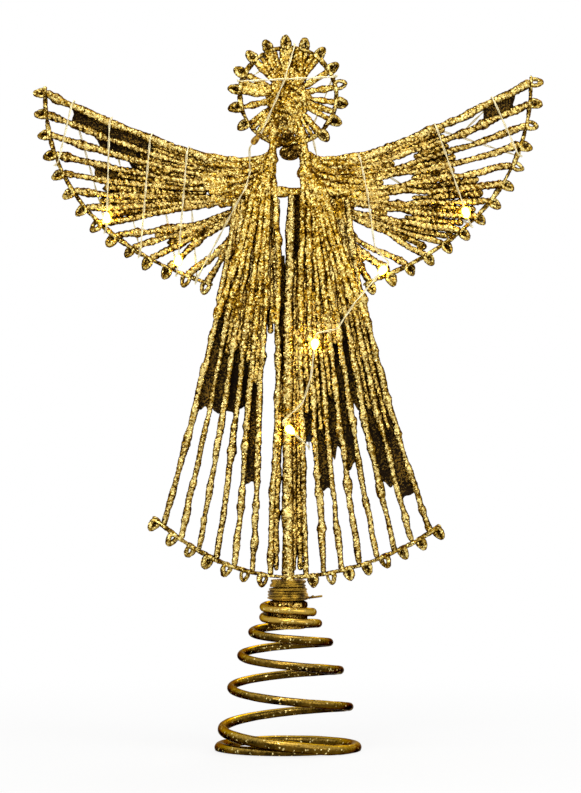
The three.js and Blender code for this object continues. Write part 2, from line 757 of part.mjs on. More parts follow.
const caseBody = roundedSlab([-boxWidth / 2, boxFront, boxBase], [boxWidth / 2, boxBack, boxTop], boxCorner);
const slotHalf = (switchNub + switchTravel) / 2 + seatGap;
const slotFoot = slotHeight - switchNub / 2 - seatGap;
const slotTop = slotHeight + switchNub / 2 + seatGap;
const grooveHalf = bayWidth / 2 + coverGroove;
const lipHalf = bayWidth / 2 - coverLipReach;
const throughBack = boxBack + boxWall;
const lightHalf = lightWire / 2;
const leadBore = lightHalf + seatGap;
const leadHole = new THREE.CylinderGeometry(leadBore, leadBore, 3 * boxWall, roundSides);
leadHole.rotateX(Math.PI / 2).translate(leadGap.x - boxShift, leadDepth, boxBase);
addPiece('battery_case', cut(caseBody, [
  block([-bayWidth / 2, bayFloor, bayBase], [bayWidth / 2, grooveFront + seatGap, bayTop]),
  block([-grooveHalf, grooveFront, bayBase], [grooveHalf, grooveBack, boxTop + boxWall]),
  block([-lipHalf, grooveBack - seatGap, bayBase], [lipHalf, throughBack, boxTop + boxWall]),
  block([-bayWidth / 2, bayFloor, boxBase + boxWall], [bayWidth / 2, boxBack - boxWall, bayBase - boxWall]),
  block([-slotHalf, switchFlangeFront, slotFoot], [slotHalf, throughBack, slotTop]),
  weld(leadHole),
]).translate(boxShift, 0, 0), boxPlastic);

// Sliding cover in the grooves, with thumb ridges near its top
const coverHalf = grooveHalf - seatGap;
const coverFront = grooveFront + seatGap;
const coverBack = coverFront + coverThickness;
const coverPlate = block([-coverHalf, coverFront, bayBase + seatGap], [coverHalf, coverBack, boxTop]);
const ridgeHalf = bayWidth / 4;
const ridges = Array.from({ length: coverRidges }, (_, i) => {
  const top = boxTop - 2 * coverRidge * (i + 2);
  const foot = top - coverRidge;
  return block([-ridgeHalf, coverBack - coverRidge, foot], [ridgeHalf, coverBack + coverRidge, top]);
});
addPiece('battery_cover', join([coverPlate, ...ridges]).translate(boxShift, 0, 0), boxPlastic);

// Cells side by side, every second one upside down, between the sprung and the plain contacts
const cellPitch = 2 * cellRadius + seatGap;
const cellDepth = bayFloor + seatGap + cellRadius;
const cellBase = bayBase + 2 * seatGap + contactThickness + contactSpringHeight;
const cellReach = Array.from({ length: cellCount }, (_, i) => (
  boxShift + (i - (cellCount - 1) / 2) * cellPitch
));
const cellEdge = cellRadius * 0.08;
const cellShoulder = cellLength - cellNubHeight;
cellReach.forEach((x, i) => {
  const cell = addPiece(`cell_${i + 1}`, revolve([
    [0, 0], [cellRadius - cellEdge, 0], [cellRadius, cellEdge], [cellRadius, cellShoulder - cellEdge],
    [cellRadius - cellEdge, cellShoulder], [cellNubRadius, cellShoulder],
    [cellNubRadius, cellLength], [0, cellLength],
  ], smallLatheSteps), cellJacket);
  const flipped = i % 2 === 1;
  cell.rotation.y = flipped ? Math.PI : 0;
  cell.position.set(x, cellDepth, flipped ? cellBase + cellLength : cellBase);
});
const plateHalf = bayWidth / 2 - seatGap;
const contactPlate = (base) => block(
  [boxShift - plateHalf, cellDepth - contactDepth / 2, base],
  [boxShift + plateHalf, cellDepth + contactDepth / 2, base + contactThickness],
);
const springPlate = bayBase + seatGap;
const nubPlate = bayTop - seatGap - contactThickness;
const contactInset = contactThickness / 2;
const contactSpringTop = contactThickness + contactSpringHeight;
addPiece('contact_springs', join([contactPlate(springPlate), ...cellReach.map((x) => revolve([
  [0, contactInset], [cellRadius * 0.6, contactInset], [cellRadius * 0.3, contactSpringTop],
  [0, contactSpringTop],
], roundSides).translate(x, cellDepth, springPlate))]), steel);
addPiece('contact_strip', join([contactPlate(nubPlate), ...cellReach.map((x) => revolve([
  [0, -contactNubHeight], [cellRadius * 0.3, -contactNubHeight], [cellRadius * 0.4, contactInset],
  [0, contactInset],
], roundSides).translate(x, cellDepth, nubPlate))]), steel);

// Slide switch: its body on the floor of the bay, and its knob through the slot, at off
const bodyTop = slotHeight + switchBodyHeight / 2;
addPiece('switch_body', block(
  [boxShift - switchBodyWidth / 2, bayFloor + seatGap, slotHeight - switchBodyHeight / 2],
  [boxShift + switchBodyWidth / 2, switchFlangeFront - seatGap, bodyTop],
), boxPlastic);
const knobReach = boxShift - switchTravel / 2;
addPiece('switch_knob', join([
  block(
    [knobReach - switchFlange / 2, switchFlangeFront, slotHeight - switchFlangeHeight / 2],
    [knobReach + switchFlange / 2, switchFlangeBack, slotHeight + switchFlangeHeight / 2],
  ),
  block(
    [knobReach - switchNub / 2, switchFlangeFront + seatGap, slotHeight - switchNub / 2],
    [knobReach + switchNub / 2, boxBack + switchNubProud, slotHeight + switchNub / 2],
  ),
]), boxPlastic);

// Light string: one thin wire from the box, over the skirt, the right wing, the head and the left wing
const aroundEdge = edgeWire / 2 + 2 * seatGap + lightHalf;
const edgeFrontDepth = -(edgeHalfDepth + 2 * seatGap + dropRadius);
const overSparRise = sparRadius + seatGap + lightHalf;
const sparFrontDepth = -(overSparRise + seatGap);
const wingBackDepth = Math.max(sparRadius, wingRibRadius) + 2 * seatGap + backingThickness + lightHalf;
const wingReturnDepth = wingBackDepth + lightWire + seatGap;
const skirtFrontDepth = -(postRadius + seatGap + dropRadius);
const barFrontDepth = -(barRadius + seatGap + lightHalf);
const headDepth = Math.max(edgeHalfDepth, hubHalfDepth) + seatGap + lightHalf;
const headCrossDepth = headDepth + lightWire + seatGap;
const [leftWing, rightWing] = sides.map(wingFrame);

/** Four points that take the string from the front of an edge wire round to its back. */
function roundEdge(edge, distance, frontDepth, backDepth) {
  const { point, outward } = edgeFrame(edge, distance);
  const at = (away, depth) => point.clone().addScaledVector(outward, away).addScaledVector(axisY, depth);
  return [
    at(0, frontDepth), at(aroundEdge, -aroundEdge), at(aroundEdge, aroundEdge), at(0, backDepth),
  ];
}

/** Distance along an edge of the gap between two eyelets at a share of the eyelets. */
function gapBetween(edge, share) {
  const first = Math.min(Math.floor(share * (edge.eyelets.length - 1)), edge.eyelets.length - 2);
  return (edge.eyelets[first] + edge.eyelets[first + 1]) / 2;
}

const roundWingEdge = (wing, share) => (
  roundEdge(wing.edge, gapBetween(wing.edge, share), edgeFrontDepth, wingBackDepth)
);
const roundRing = (share) => roundEdge(headEdge, gapBetween(headEdge, share), -headDepth, headDepth);

/** Four points that take the string from the front of a spar over it to its back. */
function overSpar(wing, share) {
  const point = wing.spar.getPointAt(share);
  const upward = wing.spar.getTangentAt(share).cross(axisY).normalize();
  if (upward.z < 0) upward.negate();
  const at = (rise, depth) => point.clone().addScaledVector(upward, rise).addScaledVector(axisY, depth);
  return [
    at(0, sparFrontDepth), at(overSparRise, -overSparRise / 2),
    at(overSparRise, overSparRise / 2), at(0, wingBackDepth),
  ];
}

const skirtFront = (across, down) => (
  new THREE.Vector3(across * hemHalfWidth, skirtFrontDepth, chestHeight - down * skirtLength)
);
const wingAt = (side, out, up, depth) => wingPoint(side.sign, out * wingTipReach, up * side.tipRise, depth);
const headAt = (across, up, depth) => (
  new THREE.Vector3(across * headRadius, depth, headHeight + up * headRadius)
);

const lightRoute = [];
const drops = [];
const lay = (...points) => lightRoute.push(...points);

/** Hangs a drop on the stretch laid last, one drop length from its start or from its end. */
function hangDrop(fromStart = false) {
  const [start, end] = lightRoute.slice(-2);
  const direction = end.clone().sub(start).normalize();
  const anchor = fromStart ? start : end;
  const place = anchor.clone().addScaledVector(direction, fromStart ? dropLength : -dropLength);
  drops.push({ place, direction });
}

// Out of the box, forward between the ribs and up the front of the skirt
lay(new THREE.Vector3(leadGap.x, leadDepth, boxBase + boxWall + seatGap));
lay(new THREE.Vector3(leadGap.x, leadDepth, boxBase - 2 * boxWall));
lay(new THREE.Vector3(leadGap.x, leadGap.y + skirtFrontDepth, leadGap.z));
lay(skirtFront(-0.044, 0.599));
hangDrop();
lay(skirtFront(0.105, 0.547), skirtFront(0.16, 0.48), skirtFront(0.195, 0.367));
hangDrop();
lay(skirtFront(0.34, 0.357), skirtFront(0.466, 0.287), wingAt(sides[1], 0.414, -0.59, edgeFrontDepth));
hangDrop();

// Up and down the right wing, over its spar and round its edge, then back behind it
lay(wingAt(sides[1], 0.355, -0.47, edgeFrontDepth), wingAt(sides[1], 0.324, 0, edgeFrontDepth));
lay(...overSpar(rightWing, 0.2));
const [firstRise, ...overFirst] = overSpar(rightWing, 0.55);
lay(...roundWingEdge(rightWing, 0.56).reverse(), firstRise);
hangDrop(true);
lay(...overFirst);
lay(...roundWingEdge(rightWing, 0.24).reverse());
lay(...overSpar(rightWing, 0.82));
lay(wingAt(sides[1], 0.73, 0.55, wingReturnDepth), wingAt(sides[1], 0.146, 0.06, wingReturnDepth));

// Round the head ring and across the face
lay(headAt(0.48, -0.7, headCrossDepth));
lay(...roundRing(0.29).reverse());
lay(...roundRing(0.77));
lay(...roundRing(0.49).reverse());
lay(headAt(-0.08, 0.29, -headCrossDepth), headAt(-0.54, -0.76, -headDepth), headAt(-0.8, -1.08, -headDepth));
hangDrop();

// Down over the left shoulder, then up and down the left wing
lay(wingAt(sides[0], 0.155, 0.18, sparFrontDepth));
lay(new THREE.Vector3(-0.75 * barEnd(sides[0]), barFrontDepth, chestHeight + barRadius));
lay(new THREE.Vector3(-0.92 * barEnd(sides[0]), barFrontDepth, chestHeight - 2 * barRadius));
lay(...roundWingEdge(leftWing, 0.96));
const leftTurns = [
  { spar: 0.33, edge: 0.88, drop: true },
  { spar: 0.5, edge: 0.72, drop: false },
  { spar: 0.69, edge: 0.56, drop: true },
  { spar: 0.87, edge: 0.24, drop: false },
];
for (const turn of leftTurns) {
  const [fallEnd, ...aroundLeft] = roundWingEdge(leftWing, turn.edge);
  lay(...overSpar(leftWing, turn.spar).reverse(), fallEnd);
  if (turn.drop) hangDrop();
  lay(...aroundLeft);
}
printLeastGap('light_wire', lightRoute, lightWire);
addPiece('light_wire', tube(lightRoute, lightHalf, roundSides), paleWire);

// Light drops: beads on straight stretches of the string
const dropEnd = dropLength / 2;
drops.forEach(({ place, direction }, i) => {
  const drop = addPiece(`light_drop_${i + 1}`, revolve([
    [leadBore, -dropEnd], [dropRadius * 0.8, -dropEnd * 0.75], [dropRadius, 0],
    [dropRadius * 0.8, dropEnd * 0.75], [leadBore, dropEnd], [leadBore, -dropEnd],
  ], roundSides), lampGlass);
  drop.quaternion.setFromUnitVectors(axisZ, direction);
  drop.position.copy(place);
});

export default group;
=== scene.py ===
"""Looks of an angel tree topper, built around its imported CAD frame.

Every shape is worked out in millimetres in the frame of the CAD part (+Z up, front towards -Y)
and put into Blender in metres. Cords and wires are profiles carried along paths.
"""

import logging
import math
from dataclasses import dataclass, field, replace
from enum import Enum
from typing import TypeVar

import bpy
import numpy as np
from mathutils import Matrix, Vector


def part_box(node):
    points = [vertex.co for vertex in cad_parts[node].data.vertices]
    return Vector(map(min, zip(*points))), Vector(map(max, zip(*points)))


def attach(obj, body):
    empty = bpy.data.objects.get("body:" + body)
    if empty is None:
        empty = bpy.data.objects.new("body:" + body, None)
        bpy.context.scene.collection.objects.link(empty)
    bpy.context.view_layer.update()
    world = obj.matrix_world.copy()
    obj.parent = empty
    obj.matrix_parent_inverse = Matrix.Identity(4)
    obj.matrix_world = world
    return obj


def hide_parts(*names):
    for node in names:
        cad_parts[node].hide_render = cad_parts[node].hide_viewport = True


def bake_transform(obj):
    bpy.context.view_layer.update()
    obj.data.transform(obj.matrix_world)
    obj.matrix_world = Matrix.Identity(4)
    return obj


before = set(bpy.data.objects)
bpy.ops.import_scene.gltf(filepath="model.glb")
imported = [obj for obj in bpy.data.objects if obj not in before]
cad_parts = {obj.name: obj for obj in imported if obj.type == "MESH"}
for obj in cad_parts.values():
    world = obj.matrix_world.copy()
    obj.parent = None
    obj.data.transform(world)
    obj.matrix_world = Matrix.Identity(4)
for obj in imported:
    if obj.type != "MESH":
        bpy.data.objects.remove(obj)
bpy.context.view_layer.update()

LOG = logging.getLogger("angel_topper")
MM = 0.001
AXIS_Y = np.array([0.0, 1.0, 0.0])
AXIS_Z = np.array([0.0, 0.0, 1.0])
GRAIN = 0.46
FLECK_SCALE = 1900.0
# Level of the coat attribute where no light or shade is painted.
NEUTRAL_PAINTED_LIGHT = 0.6
# Mesh attribute, named coat, that holds painted light and shade.
PAINTED_LIGHT_ATTRIBUTE = "coat"
SEEDS_PER_SIDE = 20
TEAR_LENGTH = 3
IMAGE_WIDTH = 581
IMAGE_HEIGHT = 793
MM_PER_PIXEL = 0.39

WHITE = (1.0, 1.0, 1.0)

Colour = tuple[float, float, float]
Triple = tuple[float, float, float]
Span = tuple[float, float]
Values = tuple[float, ...]
Pair = tuple[int, int]
Array = np.ndarray
Random = np.random.Generator
Material = bpy.types.Material
Socket = bpy.types.NodeSocket
Sided = TypeVar("Sided")


class Side(Enum):
    """The two sides of the figure, as the viewer sees them, with their sign along X."""

    LEFT = -1
    RIGHT = 1

    @property
    def label(self) -> str:
        """Name of the side in the pieces' names."""
        return self.name.lower()


def by_side(left: Sided, right: Sided) -> dict[Side, Sided]:
    """Dataclass field that holds a value for each side."""
    return field(default_factory=lambda: {Side.LEFT: left, Side.RIGHT: right})


class Shading(Enum):
    """How a mesh is shaded: flakes keep flat facets, wire and resin are smooth."""

    FLAKES = False
    SMOOTH = True


class Body(Enum):
    """CAD bodies that pieces ride on."""

    SPRING = "spring"
    ANGEL = "angel"
    COVER = "battery_cover"
    KNOB = "switch_knob"


# Surfaces


@dataclass
class Surface:
    """A mesh in millimetres: points, the quads and triangles over them, and the painted light and shade at
    each point, kept as its coat.
    """

    points: Array
    quads: Array = field(default_factory=lambda: np.zeros((0, 4), np.int32))
    tris: Array = field(default_factory=lambda: np.zeros((0, 3), np.int32))
    coat: Array = field(default_factory=lambda: np.zeros(0))

    def __post_init__(self) -> None:
        """Gives an even level of painted light, with no painted shade, where none is stated."""
        if len(self.coat) != len(self.points):
            self.coat = np.full(len(self.points), NEUTRAL_PAINTED_LIGHT)

    @staticmethod
    def join(parts: list["Surface"]) -> "Surface":
        """Puts several surfaces into one, with their indices moved along.

        Args:
            parts: The surfaces to join.

        Returns:
            One surface with all their points and faces.
        """
        starts = np.cumsum([0] + [len(part.points) for part in parts[:-1]])
        return Surface(
            np.concatenate([part.points for part in parts]),
            np.concatenate([part.quads + start for part, start in zip(parts, starts)]),
            np.concatenate([part.tris + start for part, start in zip(parts, starts)]),
            np.concatenate([part.coat for part in parts]),
        )

    def to_object(self, name: str, material: Material, shading: Shading) -> bpy.types.Object:
        """Makes a Blender object of the surface, at the origin.

        Args:
            name: Name of the object and its mesh.
            material: Its material.
            shading: Flat flakes or a smooth skin.

        Returns:
            The new object, linked to the scene.
        """
        mesh = bpy.data.meshes.new(name)
        mesh.vertices.add(len(self.points))
        mesh.vertices.foreach_set("co", (self.points * MM).astype(np.float32).ravel())
        corners = np.concatenate([self.quads.ravel(), self.tris.ravel()]).astype(np.int32)
        totals = np.concatenate([np.full(len(self.quads), 4), np.full(len(self.tris), 3)])
        starts = np.concatenate([[0], np.cumsum(totals)[:-1]]).astype(np.int32)
        mesh.loops.add(len(corners))
        mesh.loops.foreach_set("vertex_index", corners)
        mesh.polygons.add(len(totals))
        mesh.polygons.foreach_set("loop_start", starts)
        mesh.polygons.foreach_set("use_smooth", np.full(len(totals), shading.value))
        mesh.update(calc_edges=True)
        mesh.validate()
        # Painted light and shade for the materials, kept in the coat attribute.
        coat = mesh.attributes.new(PAINTED_LIGHT_ATTRIBUTE, "FLOAT", "POINT")
        coat.data.foreach_set("value", self.coat.astype(np.float32))
        mesh.materials.append(material)
        made = bpy.data.objects.new(name, mesh)
        bpy.context.scene.collection.objects.link(made)
        return made


def seeded(seed: int) -> Random:
    """Random generator that gives the same draws each time."""
    return np.random.default_rng(seed)


def numbered(seed: int, side: Side, number: int) -> Random:
    """Random generator of a numbered cord or card on one side of the figure."""
    return seeded(seed + SEEDS_PER_SIDE * side.value + number)


def shares(count: int) -> Array:
    """Evenly spaced shares from 0 to 1."""
    return np.linspace(0, 1, count)


def unit(vectors: Array) -> Array:
    """Vectors divided by their lengths, along the last axis."""
    return vectors / np.linalg.norm(vectors, axis=-1, keepdims=True)


def ease(value: Array) -> Array:
    """Smooth step 3s^2 - 2s^3 of a value that is first limited to 0 and 1."""
    share = np.clip(value, 0, 1)
    return share * share * (3 - 2 * share)


def distances(path: Array) -> Array:
    """Distance of each point of a path from its start, measured along it."""
    steps = np.linalg.norm(np.diff(path, axis=0), axis=1)
    return np.concatenate([[0.0], np.cumsum(steps)])


def rows_at(places: Array, along: Array, rows: Array) -> Array:
    """Rows of coordinates, interpolated at distances along a path."""
    return np.stack([np.interp(places, along, rows[:, axis]) for axis in range(3)], axis=1)


def resample(path: Array, step: float) -> Array:
    """A path with points that are evenly spaced along it, as near to a step as they come."""
    along = distances(path)
    return rows_at(np.linspace(0.0, along[-1], max(3, int(round(along[-1] / step)) + 1)), along, path)


def rounded_ends(along: Array, radius: float, least: float) -> Array:
    """Share of a wire's radius along it: 1, and a quarter circle at both ends, its square not below least."""
    to_end = np.minimum(along, along[-1] - along) / radius
    return np.sqrt(np.clip(1 - (1 - np.clip(to_end, 0, 1)) ** 2, least, 1))


def bezier(start: Array, middle: Array, end: Array, share: Array) -> Array:
    """Quadratic curve: (1-t)^2 start + 2t(1-t) middle + t^2 end, a point a row for each share t."""
    t = share[:, None]
    return (1 - t) ** 2 * start + 2 * t * (1 - t) * middle + t**2 * end


def smooth_noise(places: Array, period: float, rng: Random) -> Array:
    """Soft noise along a line: random knots one period apart, joined by cosine steps.

    Args:
        places: Positions along the line.
        period: Spacing of the knots.
        rng: Seeded generator.

    Returns:
        Noise of unit spread at each place.
    """
    knots = rng.standard_normal(int(places[-1] / period) + 3)
    position = places / period
    low = position.astype(int)
    share = (1 - np.cos(math.pi * (position - low))) / 2
    return knots[low] * (1 - share) + knots[low + 1] * share


def torn_edge(count: int, rng: Random) -> Array:
    """Noise at a number of points of a card's torn edge."""
    return smooth_noise(np.linspace(0, TEAR_LENGTH, count), 1.0, rng)


def clear_direction(tangents: Array, tries: int = 400) -> Array:
    """Direction that stays furthest from every tangent, out of a spiral of directions over a half sphere.

    Args:
        tangents: Unit tangents of a path, one a row.
        tries: Number of directions in the spiral.

    Returns:
        A unit vector.
    """
    number = np.arange(tries) + 0.5
    height = number / tries
    turn = number * math.pi * (3 - math.sqrt(5))
    flat = np.sqrt(1 - height**2)
    choices = np.stack([flat * np.cos(turn), flat * np.sin(turn), height], axis=1)
    return choices[np.argmin(np.abs(choices @ tangents.T).max(axis=1))]


def sweep(path: Array, radii: Array, up: Array | None = None, plies: Array | float = 0.0) -> Surface:
    """Closed tube along a path: ring i holds path_i + r_ik (across_i cos a_k + aside_i sin a_k).

    The coat holds painted light: high on the front and the back, for lit crests, and low on the flanks, as
    painted shade between the cords.

    Args:
        path: Centre line, one point a row.
        radii: Radius for each path point and each side of the ring.
        up: Direction that the rings' first corner leans to; found from the path if left out.
        plies: Painted light added for each path point and side of the ring.

    Returns:
        The tube with fans over both ends.
    """
    tangents = unit(np.gradient(path, axis=0))
    lean = clear_direction(tangents) if up is None else up
    across = unit(lean - (tangents @ lean)[:, None] * tangents)
    aside = np.cross(tangents, across)
    count, sides = radii.shape
    angles = np.arange(sides) * (2 * math.pi / sides)
    spread = across[:, None] * np.cos(angles)[:, None] + aside[:, None] * np.sin(angles)[:, None]
    rings = path[:, None] + radii[..., None] * spread
    points = np.concatenate([rings.reshape(-1, 3), path[:1], path[-1:]])
    # Painted shade on the flanks, where the ring faces sideways, and painted light where it faces front or
    # back.
    coat = (np.abs(spread[..., 1]) + plies).ravel()
    ring = np.arange(count - 1)[:, None] * sides
    corner = np.arange(sides)[None]
    beside = (corner + 1) % sides
    quads = np.stack([ring + corner, ring + beside, ring + sides + beside, ring + sides + corner], axis=-1)
    first = count * sides
    last = (count - 1) * sides
    fan = np.stack([np.full(sides, first), beside[0], corner[0]], axis=1)
    far_fan = np.stack([np.full(sides, first + 1), last + corner[0], last + beside[0]], axis=1)
    coat = np.concatenate([coat, [NEUTRAL_PAINTED_LIGHT, NEUTRAL_PAINTED_LIGHT]])
    return Surface(points, quads.reshape(-1, 4), np.concatenate([fan, far_fan]), coat)


def round_wire(path: Array, radius: float, sides: int, up: Array) -> Surface:
    """Smooth tube of one radius along a path, whose rings lean to a direction."""
    return sweep(path, np.full((len(path), sides), radius), up)


@dataclass(frozen=True)
class Coating:
    """How glitter builds up on a cord: soft lumps along it, knots of glue, plies and single grains."""

    lump: float = 0.13
    lump_period: float = 5.0
    ripple_period: float = 1.7
    grain_depth: float = 0.07
    wobble: float = 0.16
    wander_period: float = 7.0
    knots: int = 0
    knot_height: float = 0.55
    knot_width: float = 1.6
    knot_places: Span = (0.1, 0.95)
    knot_sizes: Span = (0.4, 1.0)
    swell_limits: Span = (0.7, 1.9)
    plies: int = 2
    ply_pitch: float = 2.6
    ply_depth: float = 0.03
    # Painted light on the plies' crests and painted shade in their grooves.
    ply_painted_light: float = 0.05
    slip_period: float = 6.0
    taper: float = 1.0
    least_end: float = 0.12
    least_radius: float = 0.25
    least_sides: int = 8

    def tube(self, path: Array, radius: float, rng: Random, up: Array | None = None) -> Surface:
        """Coated cord: its radius is r (1 + lumps + knots) (1 + plies) + grain, with rounded ends.

        The plies are a cosine that turns round the cord as it goes along, as in a twisted string. The same
        cosine paints light on their crests and shade in their grooves.

        Args:
            path: Centre line of the cord.
            radius: Mean radius.
            rng: Seeded generator for lumps and grains.
            up: Direction that the rings lean to.

        Returns:
            The coated cord as a closed surface.
        """
        line = resample(path, GRAIN)
        along = distances(line)
        sides = max(self.least_sides, int(round(2 * math.pi * radius / GRAIN)))
        swell = 1 + self.lump * smooth_noise(along, self.lump_period, rng)
        swell += self.lump / 2 * smooth_noise(along, self.ripple_period, rng)
        centres = rng.uniform(*self.knot_places, self.knots) * along[-1]
        heights = rng.uniform(*self.knot_sizes, self.knots) * self.knot_height
        bumps = np.exp(-(((along[:, None] - centres) / self.knot_width) ** 2))
        swell = np.clip(swell + bumps @ heights, *self.swell_limits)
        turn = np.arange(sides) * (2 * math.pi / sides)
        slip = smooth_noise(along, self.slip_period, rng)
        twist = np.cos(self.plies * turn[None] - (2 * math.pi * along / self.ply_pitch + slip)[:, None])
        thick = radius * np.linspace(1, self.taper, len(line))
        thick = thick * swell * rounded_ends(along, radius, self.least_end)
        radii = thick[:, None] * (1 + self.ply_depth * twist)
        radii = radii + self.grain_depth * rng.standard_normal((len(line), sides))
        radii = np.maximum(radii, self.least_radius * radius)
        wander = np.stack([smooth_noise(along, self.wander_period, rng) for _ in range(3)], axis=1)
        return sweep(line + self.wobble * wander, radii, up, self.ply_painted_light * twist)


def cord(path: Array, radius: float, rng: Random, knots: int) -> Surface:
    """Coated cord with a number of knots, its rings turned to the front."""
    return Coating(knots=knots).tube(path, radius, rng, AXIS_Y)


def ball(centre: Array, size: Triple, seed: int, grain: float = 0.035, pole: float = 0.06) -> Surface:
    """Lumpy ball: rings of radius sin a round an upright axis, scaled along the three axes, with grains.

    Args:
        centre: Middle of the ball.
        size: Half sizes along X, Y and Z.
        seed: Seed of the grains.
        grain: Depth of the grains, as a share of the size.
        pole: Angle of the first ring.

    Returns:
        The closed ball.
    """
    rings = max(8, int(math.pi * max(size) / GRAIN))
    angle = np.linspace(pole, math.pi - pole, rings)
    grains = grain * seeded(seed).standard_normal((rings, 2 * rings))
    surface = sweep(-np.cos(angle)[:, None] * AXIS_Z, np.sin(angle)[:, None] + grains, AXIS_Y)
    return Surface(surface.points * np.array(size) + centre, surface.quads, surface.tris)


def card_sheet(front: Array, side: Side, thickness: float) -> Surface:
    """Closed thin sheet: a grid of front points, the same grid set back, and a wall round the rim.

    Args:
        front: Grid of front points, with columns that run away from the middle of the figure.
        side: Side of the figure.
        thickness: Thickness along Y.

    Returns:
        The closed sheet.
    """
    front = front if side is Side.RIGHT else front[:, ::-1]
    rows, columns = front.shape[:2]
    count = rows * columns
    points = np.concatenate([front.reshape(-1, 3), front.reshape(-1, 3) + thickness * AXIS_Y])
    index = np.arange(count).reshape(rows, columns)
    face = np.stack([index[:-1, :-1], index[1:, :-1], index[1:, 1:], index[:-1, 1:]], axis=-1).reshape(-1, 4)
    rim = np.concatenate([index[0, :-1], index[:-1, -1], index[-1, :0:-1], index[:0:-1, 0]])
    beside = np.roll(rim, -1)
    wall = np.stack([rim, beside, beside + count, rim + count], axis=-1)
    return Surface(points, np.concatenate([face, face[:, ::-1] + count, wall]))


# Materials


class Nodes:
    """A node tree with short calls to add nodes, set sockets and link them."""

    def __init__(self, tree: bpy.types.NodeTree) -> None:
        """Takes over a tree and empties it."""
        self.tree = tree
        tree.nodes.clear()

    def add(self, kind: str, settings: dict[str, object] | None = None, **sockets: object) -> bpy.types.Node:
        """Adds a node, with its settings, and sets or links its inputs.

        Args:
            kind: Node type without the leading ShaderNode.
            settings: Attributes of the node.
            sockets: Inputs by name, with spaces as underscores, or by number as in i0; a socket is
                linked, anything else is set.

        Returns:
            The new node.
        """
        prefix = "" if kind.startswith("NodeGroup") else "ShaderNode"
        node = self.tree.nodes.new(prefix + kind)
        for key, value in (settings or {}).items():
            setattr(node, key, value)
        for key, value in sockets.items():
            name = key.replace("_", " ")
            by_number = name[0] == "i" and name[1:].isdigit()
            target = node.inputs[int(name[1:]) if by_number else name]
            if isinstance(value, Socket):
                self.tree.links.new(value, target)
            else:
                target.default_value = value
        return node

    def math(self, operation: str, first: object, second: object = 0.0) -> Socket:
        """Output of a math node on two values or sockets."""
        return self.add("Math", {"operation": operation}, i0=first, i1=second).outputs[0]

    def offset(self, value: object, middle: float, factor: object) -> Socket:
        """Difference of a value from a middle, times a factor."""
        return self.math("MULTIPLY", self.math("SUBTRACT", value, middle), factor)

    def vector(self, operation: str, first: object, second: object = (0.0, 0.0, 0.0)) -> Socket:
        """Output of a vector math node on two vectors or sockets."""
        return self.add("VectorMath", {"operation": operation}, i0=first, i1=second).outputs[0]

    def mix(self, factor: object, first: object, second: object) -> Socket:
        """Colour between two colours or sockets, by a factor."""
        return self.add("Mix", {"data_type": "RGBA"}, i0=factor, i6=first, i7=second).outputs[2]

    def band(self, value: object, low: float, high: float) -> Socket:
        """Smooth step of a value, from 0 at low to 1 at high."""
        smooth = {"interpolation_type": "SMOOTHSTEP"}
        return self.add("MapRange", smooth, Value=value, From_Min=low, From_Max=high).outputs[0]

    def noise(self, scale: object, detail: float = 2.0) -> Socket:
        """Noise over the object's own coordinates."""
        place = self.add("TexCoord").outputs["Object"]
        return self.add("TexNoise", Vector=place, Scale=scale, Detail=detail).outputs["Fac"]

    def cells(self, scale: object) -> Socket:
        """Cells of random colours over the object's own coordinates."""
        place = self.add("TexCoord").outputs["Object"]
        return self.add("TexVoronoi", Vector=place, Scale=scale).outputs["Color"]

    def coat(self) -> Socket:
        """Painted light and shade, from the mesh's coat attribute."""
        return self.add("Attribute", {"attribute_name": PAINTED_LIGHT_ATTRIBUTE}).outputs["Fac"]

    def seen(self) -> Socket:
        """Mask that is 1 for what the camera sees directly, mirrored or through glass.

        Returns:
            The mask.
        """
        path = self.add("LightPath").outputs
        seen = self.math("MAXIMUM", path["Is Camera Ray"], path["Is Glossy Ray"])
        return self.math("MAXIMUM", seen, path["Is Transmission Ray"])

    def bump(self, height: Socket, strength: float, depth: float) -> Socket:
        """Normal that follows a height, over a depth in millimetres."""
        return self.add("Bump", Height=height, Strength=strength, Distance=depth * MM).outputs[0]

    def principled(self, **sockets: object) -> None:
        """Principled shader with the given inputs, as the material's surface."""
        self.add("OutputMaterial", Surface=self.add("BsdfPrincipled", **sockets).outputs[0])


def rgba(colour: Colour) -> Values:
    """A colour with full alpha."""
    return (*colour, 1.0)


def new_group(name: str, inputs: dict[str, str], outputs: dict[str, str]) -> bpy.types.NodeTree:
    """Empty shader node group with named sockets.

    Args:
        name: Name of the group.
        inputs: Socket kinds by name.
        outputs: Socket kinds by name.

    Returns:
        The group's node tree.
    """
    tree = bpy.data.node_groups.new(name, "ShaderNodeTree")
    for way, sockets in (("INPUT", inputs), ("OUTPUT", outputs)):
        for label, kind in sockets.items():
            tree.interface.new_socket(name=label, in_out=way, socket_type=f"NodeSocket{kind}")
    return tree


